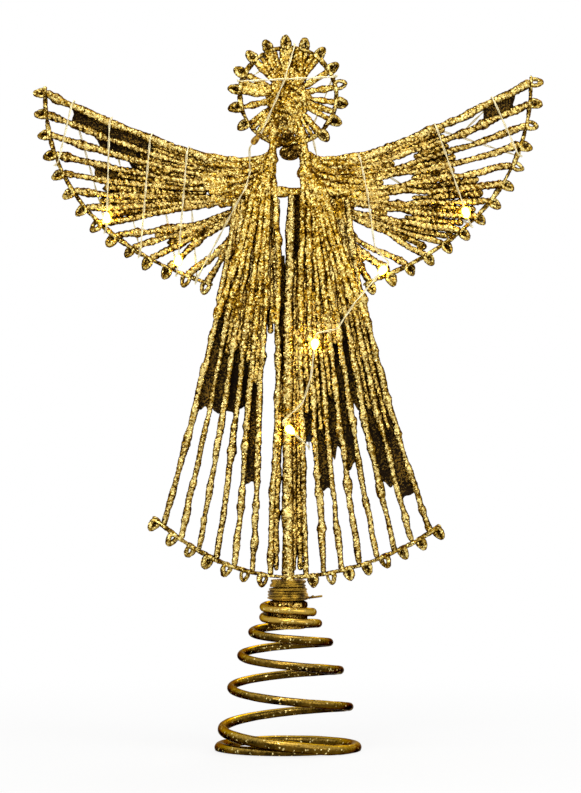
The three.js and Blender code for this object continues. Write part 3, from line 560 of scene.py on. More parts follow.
class Effects:
    """Shader effects that several finishes share, each built once."""

    patch_scale: float = 130.0
    patch_detail: float = 3.0
    clump_scale: float = 750.0
    clump_detail: float = 1.0
    clump_lift: float = 1.8
    flake_level: float = 0.26
    middle_level: float = 0.55
    flake_smooth: float = 0.2
    flake_rough: float = 0.3
    coarse_detail: float = 4.0
    coarse_share: float = 0.7
    fine_ratio: float = 9.0
    mottle_low: float = 0.32
    mottle_high: float = 0.68

    def __init__(self) -> None:
        """Builds the groups."""
        self.flakes = self.build_flakes()
        self.mottle = self.build_mottle()

    def build_flakes(self) -> bpy.types.NodeTree:
        """Glitter flakes: a random colour, roughness and tilt for each cell, with painted shade where the
        coat attribute is low and a painted highlight where it is high.

        Returns:
            The group's node tree.
        """
        colours = dict.fromkeys(("Deep", "Middle", "Bright"), "Color")
        values = dict.fromkeys(("Scale", "Tilt", "Patches", "Spread", "Relief"), "Float")
        made = {"Color": "Color", "Roughness": "Float", "Normal": "Vector"}
        tree = new_group("glitter_flakes", colours | values, made)
        nodes = Nodes(tree)
        given = nodes.add("NodeGroupInput").outputs
        cells = nodes.cells(given["Scale"])
        parts = nodes.add("SeparateColor", Color=cells).outputs
        patch = nodes.offset(nodes.noise(self.patch_scale, self.patch_detail), 0.5, given["Patches"])
        clump = nodes.offset(nodes.noise(self.clump_scale, self.clump_detail), 0.5, self.clump_lift)
        flake = nodes.offset(parts["Red"], 0.5, given["Spread"])
        # Painted light and shade from the mesh, scaled by the group's strength input.
        painted_crest_light = nodes.offset(nodes.coat(), NEUTRAL_PAINTED_LIGHT, given["Relief"])
        lift = nodes.math("ADD", nodes.math("ADD", patch, clump), self.flake_level)
        level = nodes.math("ADD", nodes.math("ADD", flake, painted_crest_light), lift)
        base = nodes.mix(nodes.band(level, 0.0, self.middle_level), given["Deep"], given["Middle"])
        colour = nodes.mix(nodes.band(level, self.middle_level, 1.0), base, given["Bright"])
        rough = nodes.math("MULTIPLY", parts["Green"], self.flake_rough)
        rough = nodes.math("ADD", rough, self.flake_smooth)
        lean = nodes.vector("SUBTRACT", cells, (0.5, 0.5, 0.5))
        tilt = nodes.add("VectorMath", {"operation": "SCALE"}, i0=lean, Scale=given["Tilt"]).outputs[0]
        face = nodes.add("NewGeometry").outputs["Normal"]
        normal = nodes.vector("NORMALIZE", nodes.vector("ADD", face, tilt))
        nodes.add("NodeGroupOutput", Color=colour, Roughness=rough, Normal=normal)
        return tree

    def build_mottle(self) -> bpy.types.NodeTree:
        """Soft mottling: fine and coarse noise between two colours and two roughnesses.

        Returns:
            The group's node tree.
        """
        colours = dict.fromkeys(("Dark", "Light"), "Color")
        values = dict.fromkeys(("Scale", "Smooth", "Rough"), "Float")
        made = {"Color": "Color", "Roughness": "Float", "Height": "Float"}
        tree = new_group("soft_mottle", colours | values, made)
        nodes = Nodes(tree)
        given = nodes.add("NodeGroupInput").outputs
        coarse = nodes.noise(given["Scale"], self.coarse_detail)
        fine = nodes.noise(nodes.math("MULTIPLY", given["Scale"], self.fine_ratio))
        coarse = nodes.math("MULTIPLY", coarse, self.coarse_share)
        blend = nodes.math("ADD", coarse, nodes.math("MULTIPLY", fine, 1 - self.coarse_share))
        share = nodes.band(blend, self.mottle_low, self.mottle_high)
        span = nodes.math("SUBTRACT", given["Rough"], given["Smooth"])
        rough = nodes.math("ADD", nodes.math("MULTIPLY", share, span), given["Smooth"])
        colour = nodes.mix(share, given["Dark"], given["Light"])
        nodes.add("NodeGroupOutput", Color=colour, Roughness=rough, Height=fine)
        return tree


def new_material(name: str) -> tuple[Material, Nodes]:
    """A material with an empty node tree.

    Args:
        name: Name of the material.

    Returns:
        The material and its nodes.
    """
    material = bpy.data.materials.new(name)
    material.use_nodes = True
    return material, Nodes(material.node_tree)


@dataclass(frozen=True)
class GlitterFinish:
    """Gold glitter stuck over a cord or a wire."""

    name: str
    deep: Colour
    middle: Colour
    bright: Colour
    scale: float = 2000.0
    tilt: float = 0.9
    patches: float = 1.3
    spread: float = 1.15
    # Strength of the painted light and shade that the mesh holds.
    relief: float = 1.5
    metal: float = 0.97
    edge: Colour = (0.5, 0.33, 0.1)

    def material(self, effects: Effects) -> Material:
        """Metal flakes of mixed gold tones.

        Args:
            effects: Shared effects.

        Returns:
            The material.
        """
        material, nodes = new_material(self.name)
        flakes = nodes.add(
            "Group",
            {"node_tree": effects.flakes},
            Scale=self.scale,
            Deep=rgba(self.deep),
            Middle=rgba(self.middle),
            Bright=rgba(self.bright),
            Tilt=self.tilt,
            Patches=self.patches,
            Spread=self.spread,
            Relief=self.relief,
        ).outputs
        nodes.principled(
            Base_Color=flakes["Color"],
            Roughness=flakes["Roughness"],
            Normal=flakes["Normal"],
            Metallic=self.metal,
            Specular_Tint=rgba(self.edge),
        )
        return material


@dataclass(frozen=True)
class MottledFinish:
    """Plain material with soft mottling: thread, wire, moulded plastic, steel or a cell's jacket."""

    name: str
    dark: Colour
    light: Colour
    scale: float
    roughness: Span
    metallic: float = 0.0
    bump: float = 0.2
    bump_depth: float = 0.3

    def material(self, effects: Effects) -> Material:
        """Mottled colour and roughness with a fine bump, and what glitter on it changes.

        Args:
            effects: Shared effects.

        Returns:
            The material.
        """
        material, nodes = new_material(self.name)
        smooth, rough = self.roughness
        mottle = nodes.add(
            "Group",
            {"node_tree": effects.mottle},
            Scale=self.scale,
            Dark=rgba(self.dark),
            Light=rgba(self.light),
            Smooth=smooth,
            Rough=rough,
        ).outputs
        plain = {
            "Base_Color": mottle["Color"],
            "Roughness": mottle["Roughness"],
            "Normal": nodes.bump(mottle["Height"], self.bump, self.bump_depth),
            "Metallic": self.metallic,
        }
        nodes.principled(**plain | self.glitter(nodes, mottle["Color"]))
        return material

    def glitter(self, nodes: Nodes, colour: Socket) -> dict[str, object]:
        """Shader inputs that stray glitter changes: none on a plain material."""
        return {}


@dataclass(frozen=True)
class LacquerFinish(MottledFinish):
    """Dark gold lacquer on spring wire, with a little glitter caught in it and painted light on its upper
    side.
    """

    # Pale gold where the mask is high: painted light on the wire's upper side and more gilt on the tight
    # turns.
    gilt_and_top_light: Colour = (0.46, 0.29, 0.05)
    gilt_light_span: Span = (0.6, 1.2)
    gilt_light_scatter: float = 0.25
    fleck: Colour = (0.95, 0.78, 0.32)
    fleck_chance: Span = (0.955, 0.99)
    edge: Colour = (0.24, 0.16, 0.04)

    def glitter(self, nodes: Nodes, colour: Socket) -> dict[str, object]:
        """Paler where the coat attribute is high: painted light on the wire's upper side and more gilt on the
        tight turns by the collar; with bright flecks, and dark at grazing angles.

        Args:
            nodes: The material's nodes.
            colour: Its mottled colour.

        Returns:
            Shader inputs that change.
        """
        chance = nodes.add("SeparateColor", Color=nodes.cells(FLECK_SCALE)).outputs["Blue"]
        gilt_light_share = nodes.math("ADD", nodes.coat(), nodes.math("MULTIPLY", chance, self.gilt_light_scatter))
        body = nodes.mix(nodes.band(gilt_light_share, *self.gilt_light_span), colour, rgba(self.gilt_and_top_light))
        flecked = nodes.mix(nodes.band(chance, *self.fleck_chance), body, rgba(self.fleck))
        return {"Base_Color": flecked, "Specular_Tint": rgba(self.edge)}


@dataclass(frozen=True)
class SpeckledFinish(MottledFinish):
    """Dull dark card with stray glitter stuck to it in patches."""

    speck: Colour = (0.4, 0.24, 0.04)
    speck_level: Span = (1.55, 1.95)
    patch_scale: float = 60.0
    patch_detail: float = 3.0
    patch_weight: float = 2.0
    gloss: float = 0.1

    def glitter(self, nodes: Nodes, colour: Socket) -> dict[str, object]:
        """Metal specks where a coarse noise and a cell's chance are both high.

        Args:
            nodes: The material's nodes.
            colour: Its mottled colour.

        Returns:
            Shader inputs that change.
        """
        chance = nodes.add("SeparateColor", Color=nodes.cells(FLECK_SCALE)).outputs["Red"]
        patch = nodes.math("MULTIPLY", nodes.noise(self.patch_scale, self.patch_detail), self.patch_weight)
        speck = nodes.band(nodes.math("ADD", chance, patch), *self.speck_level)
        speckled = nodes.mix(speck, colour, rgba(self.speck))
        return {"Base_Color": speckled, "Metallic": speck, "Specular_IOR_Level": self.gloss}


@dataclass(frozen=True)
class ResinFinish:
    """Clear resin of a light drop, glowing where the lamp inside is lit."""

    name: str
    tint: Colour
    pale: Colour
    strength: float = 0.0
    core: Colour = (1.0, 0.9, 0.5)
    glow: Colour = (1.0, 0.68, 0.008)
    rim: Span = (0.08, 0.4)
    cloud_scale: float = 700.0
    cloud: Span = (0.35, 0.7)
    roughness: float = 0.25
    gloss: float = 0.15

    def material(self) -> Material:
        """Glossy resin with a white-hot middle and a yellow rim where it is lit.

        Returns:
            The material.
        """
        material, nodes = new_material(self.name)
        cloud = nodes.band(nodes.noise(self.cloud_scale), *self.cloud)
        facing = nodes.add("LayerWeight", Blend=0.5).outputs["Facing"]
        nodes.principled(
            Base_Color=nodes.mix(cloud, rgba(self.tint), rgba(self.pale)),
            Roughness=self.roughness,
            Specular_IOR_Level=self.gloss,
            Emission_Color=nodes.mix(nodes.band(facing, *self.rim), rgba(self.core), rgba(self.glow)),
            Emission_Strength=self.strength,
        )
        return material


class Palette:
    """All the materials of the object."""

    def __init__(self) -> None:
        """Makes every material once."""
        effects = Effects()
        self.cord = GlitterFinish(
            "glitter_cord", (0.02, 0.008, 0.0005), (0.29, 0.152, 0.008), (0.84, 0.66, 0.23), relief=1.6
        ).material(effects)
        self.pressed = GlitterFinish(
            "glitter_pressed", (0.07, 0.028, 0.0015), (0.53, 0.29, 0.016), (0.97, 0.78, 0.25), relief=1.1
        ).material(effects)
        self.wire = GlitterFinish(
            "glitter_wire", (0.035, 0.014, 0.001), (0.36, 0.205, 0.014), (0.92, 0.75, 0.27),
            scale=2300.0, relief=1.1,
        ).material(effects)
        self.dark_cord = GlitterFinish(
            "glitter_knot", (0.012, 0.0045, 0.0006), (0.15, 0.074, 0.007), (0.8, 0.56, 0.14)
        ).material(effects)
        # Darker copy of the cord glitter: painted shade for cords set back behind others and inside the
        # collar.
        self.inner_cord = GlitterFinish(
            "glitter_painted_shade", (0.012, 0.0045, 0.0003), (0.17, 0.083, 0.004), (0.82, 0.57, 0.14)
        ).material(effects)
        self.fan = GlitterFinish(
            "glitter_fan", (0.022, 0.008, 0.0005), (0.25, 0.126, 0.006), (0.8, 0.6, 0.19),
            patches=1.6, relief=1.8,
        ).material(effects)
        self.glue = GlitterFinish(
            "glue_film", (0.006, 0.002, 0.0003), (0.07, 0.033, 0.003), (0.8, 0.55, 0.14),
            tilt=0.5, relief=0.3,
        ).material(effects)
        self.thread = MottledFinish(
            "binding_thread", (0.035, 0.016, 0.0015), (0.6, 0.36, 0.04), 300.0, (0.25, 0.5),
            metallic=0.95, bump=0.8,
        ).material(effects)
        self.spring = LacquerFinish(
            "spring_lacquer", (0.005, 0.002, 0.0002), (0.12, 0.064, 0.006), 110.0, (0.16, 0.36),
            metallic=1.0, bump=0.12, bump_depth=0.2,
        ).material(effects)
        self.pale_wire = MottledFinish(
            "pale_wire", (0.72, 0.6, 0.3), (0.94, 0.86, 0.58), 500.0, (0.2, 0.4), metallic=0.9, bump=0.05
        ).material(effects)
        self.card = SpeckledFinish(
            "dark_card", (0.007, 0.0035, 0.001), (0.028, 0.014, 0.004), 220.0, (0.8, 0.97), bump=0.6
        ).material(effects)
        self.plastic = MottledFinish(
            "box_plastic", (0.012, 0.011, 0.010), (0.02, 0.018, 0.016), 150.0, (0.42, 0.56)
        ).material(effects)
        self.steel = MottledFinish(
            "contact_steel", (0.5, 0.49, 0.47), (0.68, 0.67, 0.64), 240.0, (0.22, 0.4), metallic=1.0
        ).material(effects)
        self.jacket = MottledFinish(
            "cell_jacket", (0.03, 0.1, 0.06), (0.05, 0.15, 0.09), 90.0, (0.28, 0.4), metallic=0.3, bump=0.05
        ).material(effects)
        self.lit = ResinFinish("drop_lit", (0.9, 0.7, 0.3), (0.95, 0.85, 0.5), strength=30.0).material()
        self.unlit = ResinFinish("drop_unlit", (0.07, 0.024, 0.001), (0.72, 0.4, 0.035)).material()


def place_piece(
    surface: Surface,
    name: str,
    material: Material,
    replaced: str = "",
    shading: Shading = Shading.FLAKES,
) -> None:
    """Makes a piece of the figure: object, material, body, and hides the CAD node that it stands for.

    Args:
        surface: The piece's surface.
        name: Name of the piece.
        material: Its material.
        replaced: CAD node that it replaces.
        shading: Flat flakes or a smooth skin.
    """
    piece = surface.to_object(name, material, shading)
    if replaced:
        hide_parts(replaced)
    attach(piece, Body.ANGEL.value)
    LOG.info("%s: %d faces", name, len(surface.quads) + len(surface.tris))


# Sizes that the sub-assemblies share


@dataclass(frozen=True)
class Stack:
    """Sizes, heights and clearances, in millimetres, that place the sub-assemblies on each other."""

    seat_gap: float = 0.3
    turn_gap: float = 0.7
    spring_wire: float = 3.3
    spring_rise: float = 50.5
    foot_flat: float = 0.5
    grip_turns: float = 1.3
    collar_radius: float = 7.6
    neck_length: float = 8.0
    post_radius: float = 2.6
    skirt_length: float = 150.0
    bar_radius: float = 2.15
    neck_height: float = 16.55
    head_radius: float = 18.8
    edge_wire: float = 1.6
    eyelet_radius: float = 1.9
    eyelet_lead: float = 2.5
    wing_rib_radius: float = 1.3
    spar_radius: float = 1.5
    card_thickness: float = 0.8
    drop_radius: float = 1.6
    drop_length: float = 4.4
    light_wire: float = 0.8
    # What follows from these
    foot_height: float = spring_wire / 2 - foot_flat
    grip_height: float = foot_height + spring_rise
    grip_pitch: float = spring_wire + turn_gap
    collar_shoulder: float = grip_height + grip_turns * grip_pitch + spring_wire / 2
    collar_top: float = collar_shoulder + neck_length
    hem_height: float = collar_top + seat_gap + edge_wire / 2
    chest_height: float = hem_height + skirt_length
    rib_top: float = chest_height - bar_radius - seat_gap
    head_height: float = chest_height + bar_radius + neck_height + head_radius
    edge_half_depth: float = (edge_wire + turn_gap) / 2 + edge_wire / 2
    wing_plane: float = bar_radius + seat_gap + wing_rib_radius


STACK = Stack()


@dataclass
class LoopedEdge:
    """A wire that turns once round an eyelet at each stated distance along a line."""

    line: Array
    eyelets: Array
    inner: Array
    loop_radius: float = 1.8
    loop_stretch: float = 1.14
    loop_point: float = 0.55
    loop_wire: float = 1.75
    crossing: float = 0.6
    loop_points: int = 28
    turn_over: Span = (0.25, 0.75)
    film_place: float = 0.9
    film_reach: float = 0.85
    film_inset: float = 0.2
    film_flatness: float = 0.3
    coating: Coating = Coating(lump=0.16, grain_depth=0.06, wobble=0.05, ply_depth=0.0, ply_painted_light=0.0)

    def frame_at(self, places: Array) -> tuple[Array, Array, Array]:
        """Points, tangents and outward directions at distances along the line.

        Args:
            places: Distances in millimetres.

        Returns:
            Points, tangents and outward directions, one a row.
        """
        along = distances(self.line)
        tangents = unit(np.gradient(self.line, axis=0))
        point = rows_at(places, along, self.line)
        tangent = unit(rows_at(places, along, tangents))
        outward = unit(np.cross(tangent, AXIS_Y))
        outward *= np.sign(((point - self.inner) * outward).sum(axis=1, keepdims=True))
        return point, tangent, outward

    def run(self, ends: Span, depths: Span) -> Array:
        """Plain stretch of the wire that changes depth in its middle third.

        Args:
            ends: Distances at which it starts and ends.
            depths: Depths at its start and end.

        Returns:
            Points of the stretch.
        """
        (start, end), (first, last) = ends, depths
        share = shares(max(4, int((end - start) / GRAIN)))
        point, _, _ = self.frame_at(start + (end - start) * share)
        depth = first + (last - first) * np.clip(3 * share - 1, 0, 1)
        return point + depth[:, None] * AXIS_Y

    def path(self) -> Array:
        """Whole wire: an eyelet is point + T R w sin a + O S (1 - cos a), passing from front to back.

        The factor w falls from 1 at the edge to 1 - p at the far end: an eyelet is drawn out to a point.

        Returns:
            Points of the wire from end to end.
        """
        half = self.crossing * self.loop_wire
        radius = self.loop_radius
        stretch = radius * self.loop_stretch
        share = shares(self.loop_points)[1:-1]
        angle = 2 * math.pi * share
        first, last = self.turn_over
        depth = half * (2 * ease((share - first) / (last - first)) - 1)
        point, tangent, outward = self.frame_at(self.eyelets)
        narrow = 1 - self.loop_point * (1 - np.cos(angle)) / 2
        loops = point[:, None] + radius * (narrow * np.sin(angle))[:, None] * tangent[:, None]
        loops = loops + stretch * (1 - np.cos(angle))[:, None] * outward[:, None] + depth[:, None] * AXIS_Y
        stops = [*self.eyelets, distances(self.line)[-1]]
        backs = [-half] * (len(loops) - 1) + [half]
        pieces = [self.run((0.0, stops[0]), (-half, -half))]
        for loop, start, end, back in zip(loops, stops, stops[1:], backs):
            pieces += [loop, self.run((start, end), (half, back))]
        return np.concatenate(pieces)

    def films(self, rng: Random, chance: float) -> Surface:
        """Lens of glue in most eyelets, at the middle of the loop.

        Args:
            rng: Seeded generator.
            chance: Share of the eyelets that hold one.

        Returns:
            All the lenses.
        """
        point, _, outward = self.frame_at(self.eyelets)
        middles = point + self.film_place * self.loop_radius * self.loop_stretch * outward
        reach = self.film_reach * self.loop_radius - self.film_inset * self.loop_wire
        size = (reach, self.film_flatness * reach, reach)
        held = middles[rng.uniform(size=len(middles)) < chance]
        return Surface.join([ball(middle, size, number) for number, middle in enumerate(held)])

    def dress(self, node: str, seeds: Pair, held: float, palette: Palette) -> None:
        """Makes the wire with its coat of glitter, and the glue in its eyelets.

        Args:
            node: CAD node of the wire.
            seeds: Seeds of the coat and of the glue.
            held: Share of the eyelets that hold glue.
            palette: Materials.
        """
        coat_seed, glue_seed = seeds
        wire = self.coating.tube(self.path(), self.loop_wire / 2, seeded(coat_seed), AXIS_Y)
        place_piece(wire, f"{node}_wire", palette.wire, node)
        place_piece(self.films(seeded(glue_seed), held), f"{node}_glue", palette.glue)

    def gap_between(self, share: float) -> float:
        """Distance of the gap between two eyelets at a share of the eyelets."""
        first = min(int(share * (len(self.eyelets) - 1)), len(self.eyelets) - 2)
        return float(self.eyelets[first] + self.eyelets[first + 1]) / 2


# Sub-assemblies


@dataclass
class SpringFoot:
    """Conical coil spring: a flat foot turn with a tucked end, narrowing turns, tight turns on the collar."""

    foot_radius: float = 26.6
    foot_turns: float = 0.555
    tuck_turns: float = 0.4375
    tuck_bend: float = 0.3
    turns: float = 4.41
    ease_turns: float = 0.1
    taper: float = 1.2
    steps_per_turn: int = 72
    sides: int = 18
    foot_coat: float = 0.45
    foot_coat_end: float = 1.3
    foot_coat_fade: float = 0.4
    grip_lead: float = 0.6
    grip_fade: float = 0.5
    grip_gilt: float = 0.55
    lumps: Span = (0.02, 0.08)
    lump_period: float = 4.0
    least_end: float = 0.15
    seed: int = 11

    @property
    def turn(self) -> Array:
        """Turn number of each point of the wire, 0 at the end of the tuck."""
        total = self.foot_turns + self.turns + STACK.grip_turns
        return np.linspace(-self.tuck_turns, total, int((total + self.tuck_turns) * self.steps_per_turn))

    def path(self) -> Array:
        """Left-handed coil: angle pi - 2 pi n, its radius narrowing and its height rising with the turn n.

        Returns:
            Points of the wire's axis, from the tucked end.
        """
        turn = self.turn
        grip_radius = STACK.collar_radius + STACK.seat_gap + STACK.spring_wire / 2
        climb = self.turns - self.ease_turns / 2
        first_pitch = 2 * STACK.spring_rise / climb - STACK.grip_pitch
        above = np.maximum(0, turn - self.foot_turns)
        tuck = (STACK.spring_wire + 2 * STACK.seat_gap) * ease(-turn / self.tuck_bend)
        starting = above**2 / (2 * self.ease_turns)
        eased = np.where(above < self.ease_turns, starting, above - self.ease_turns / 2)
        climbing = np.minimum(eased, climb)
        rise = first_pitch * climbing - (first_pitch - STACK.grip_pitch) / (2 * climb) * climbing**2
        height = STACK.foot_height + rise + (eased - climbing) * STACK.grip_pitch
        narrow = np.clip(above / self.turns, 0, 1) ** self.taper
        radius = self.foot_radius + (grip_radius - self.foot_radius) * narrow - tuck
        angle = math.pi - 2 * math.pi * turn
        return np.stack([radius * np.cos(angle), radius * np.sin(angle), height], axis=1)

    def build(self, palette: Palette) -> None:
        """Makes the spring, flat under its foot.

        Args:
            palette: Materials.
        """
        path = self.path()
        turn = self.turn
        along = distances(path)
        wire = STACK.spring_wire / 2
        grip_start = self.foot_turns + self.turns - self.grip_lead
        gripping = np.clip((turn - grip_start) / self.grip_fade, 0, 1)
        plain, lumpy = self.lumps
        uneven = smooth_noise(along, self.lump_period, seeded(self.seed))
        lacquer = 1 + (plain + (lumpy - plain) * gripping) * uneven
        thick = wire + self.foot_coat * np.clip((self.foot_coat_end - turn) / self.foot_coat_fade, 0, 1)
        thick = thick * lacquer * rounded_ends(along, wire, self.least_end)
        surface = sweep(path, thick[:, None] * np.ones(self.sides), AXIS_Z)
        # Painted light: paler on the wire's upper side and darker underneath, with more gilt on the tight
        # turns by the collar.
        above = surface.points[:-2, 2] - np.repeat(path[:, 2], self.sides)
        surface.coat[:-2] = (1 + above / wire) / 2 + self.grip_gilt * np.repeat(gripping, self.sides)
        surface.points[:, 2] = np.maximum(surface.points[:, 2], 0.0)
        piece = surface.to_object("spring_wire", palette.spring, Shading.SMOOTH)
        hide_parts("coil_spring")
        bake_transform(piece)
        LOG.info("spring_wire: %d faces", len(surface.quads))


@dataclass
class Collar:
    """Plug inside the tight turns, with a neck bound by thin wire."""

    tail: float = 2.6
    neck_wall: float = 2.0
    binding_wire: float = 1.0
    binding_tail: float = 7.0
    foot: float = STACK.grip_height - STACK.spring_wire / 2 - tail
    neck_radius: float = STACK.post_radius + STACK.seat_gap + neck_wall
    binding_radius: float = neck_radius + STACK.seat_gap + binding_wire / 2
    tail_lift: float = 1.5
    tail_reach: Span = (0.3, 0.5)
    tail_bend: float = 0.4
    thread: float = 0.42
    thread_turns: float = 13.0
    turns_lost: float = 0.25
    thread_points: int = 900
    thread_sides: int = 8
    thread_seeds: tuple[int, ...] = (13, 14)
    wrap_foot: float = 7.6
    wrap_top: float = 5.9
    wrap_curve: float = 0.7
    wrap_inset: float = 0.2
    rim: float = 0.5
    wrap_uneven: Span = (0.2, 0.5)
    uneven_turns: Span = (40.0, 60.0)
    shoulder_drop: float = 0.8
    shoulder_length: float = 1.2
    foot_inset: float = 1.2
    foot_slope: float = 1.5
    grain_depth: float = 0.1
    seed: int = 12

    def winding(self) -> Surface:
        """Threads wound up the neck: helices whose radius narrows from foot to top, with loose ends.

        Returns:
            The threads.
        """
        low = STACK.collar_shoulder + self.thread
        high = STACK.collar_top - self.thread
        share = shares(self.thread_points)
        place = self.thread_points * share
        threads = []
        first_reach, reach_step = self.tail_reach
        for number, seed in enumerate(self.thread_seeds):
            rng = seeded(seed)
            angle = 2 * math.pi * self.thread_turns * (1 - self.turns_lost * number) * share + number
            radius = self.wrap_foot + (self.wrap_top - self.wrap_foot) * share**self.wrap_curve
            radius = radius + self.thread * number
            radius = radius + self.wrap_uneven[0] * smooth_noise(place, self.uneven_turns[0], rng)
            height = low + (high - low) * share
            height = height + self.wrap_uneven[1] * smooth_noise(place, self.uneven_turns[1], rng)
            height = np.clip(height, low, high)
            coil = np.stack([radius * np.cos(angle), radius * np.sin(angle), height], axis=1)
            out = self.wrap_foot + (first_reach + reach_step * number) * self.binding_tail
            start = np.array([out, -self.binding_tail, low + self.tail_lift])
            bend = np.array([coil[0, 0], -self.tail_bend * self.binding_tail, low])
            tail = bezier(start, bend, coil[0], shares(24)[:-1])
            line = np.concatenate([tail, coil])
            threads.append(round_wire(line, self.thread, self.thread_sides, AXIS_Z))
        return Surface.join(threads)

    def build(self, palette: Palette) -> None:
        """Makes the glittered plug and its binding.

        Args:
            palette: Materials.
        """
        heights = np.arange(self.foot, STACK.collar_top, GRAIN)
        above = heights - STACK.collar_shoulder + self.shoulder_drop
        shoulder = np.clip(above / self.shoulder_length, 0, 1)
        radius = STACK.collar_radius + (self.neck_radius - STACK.collar_radius) * shoulder
        chamfer = STACK.collar_radius - self.foot_inset + self.foot_slope * (heights - self.foot)
        wrapped = np.where(heights < STACK.collar_top - self.rim, self.wrap_top - self.wrap_inset, 0)
        radius = np.maximum(np.minimum(radius, chamfer), wrapped)
        sides = int(2 * math.pi * STACK.collar_radius / GRAIN)
        grains = seeded(self.seed).standard_normal((len(heights), sides))
        plug = sweep(heights[:, None] * AXIS_Z, radius[:, None] + self.grain_depth * grains, AXIS_Y)
        # The plug inside the tight turns gets the darker glitter, as painted shade.
        place_piece(plug, "collar_plug", palette.inner_cord, "collar")
        winding = self.winding()
        place_piece(winding, "collar_winding", palette.thread, "collar_binding", Shading.SMOOTH)


@dataclass(frozen=True)
class Lean:
    """How far ribs are pushed aside, in rib numbers, over a stretch of their length."""

    start: float
    end: float
    numbers: Values
    offsets: Values

    def at(self, number: Array, share: Array) -> Array:
        """Push of the ribs: the rib's offset times sin^2 over the stretch."""
        weight = np.sin(math.pi * np.clip((share - self.start) / (self.end - self.start), 0, 1)) ** 2
        return np.interp(number, self.numbers, self.offsets) * weight


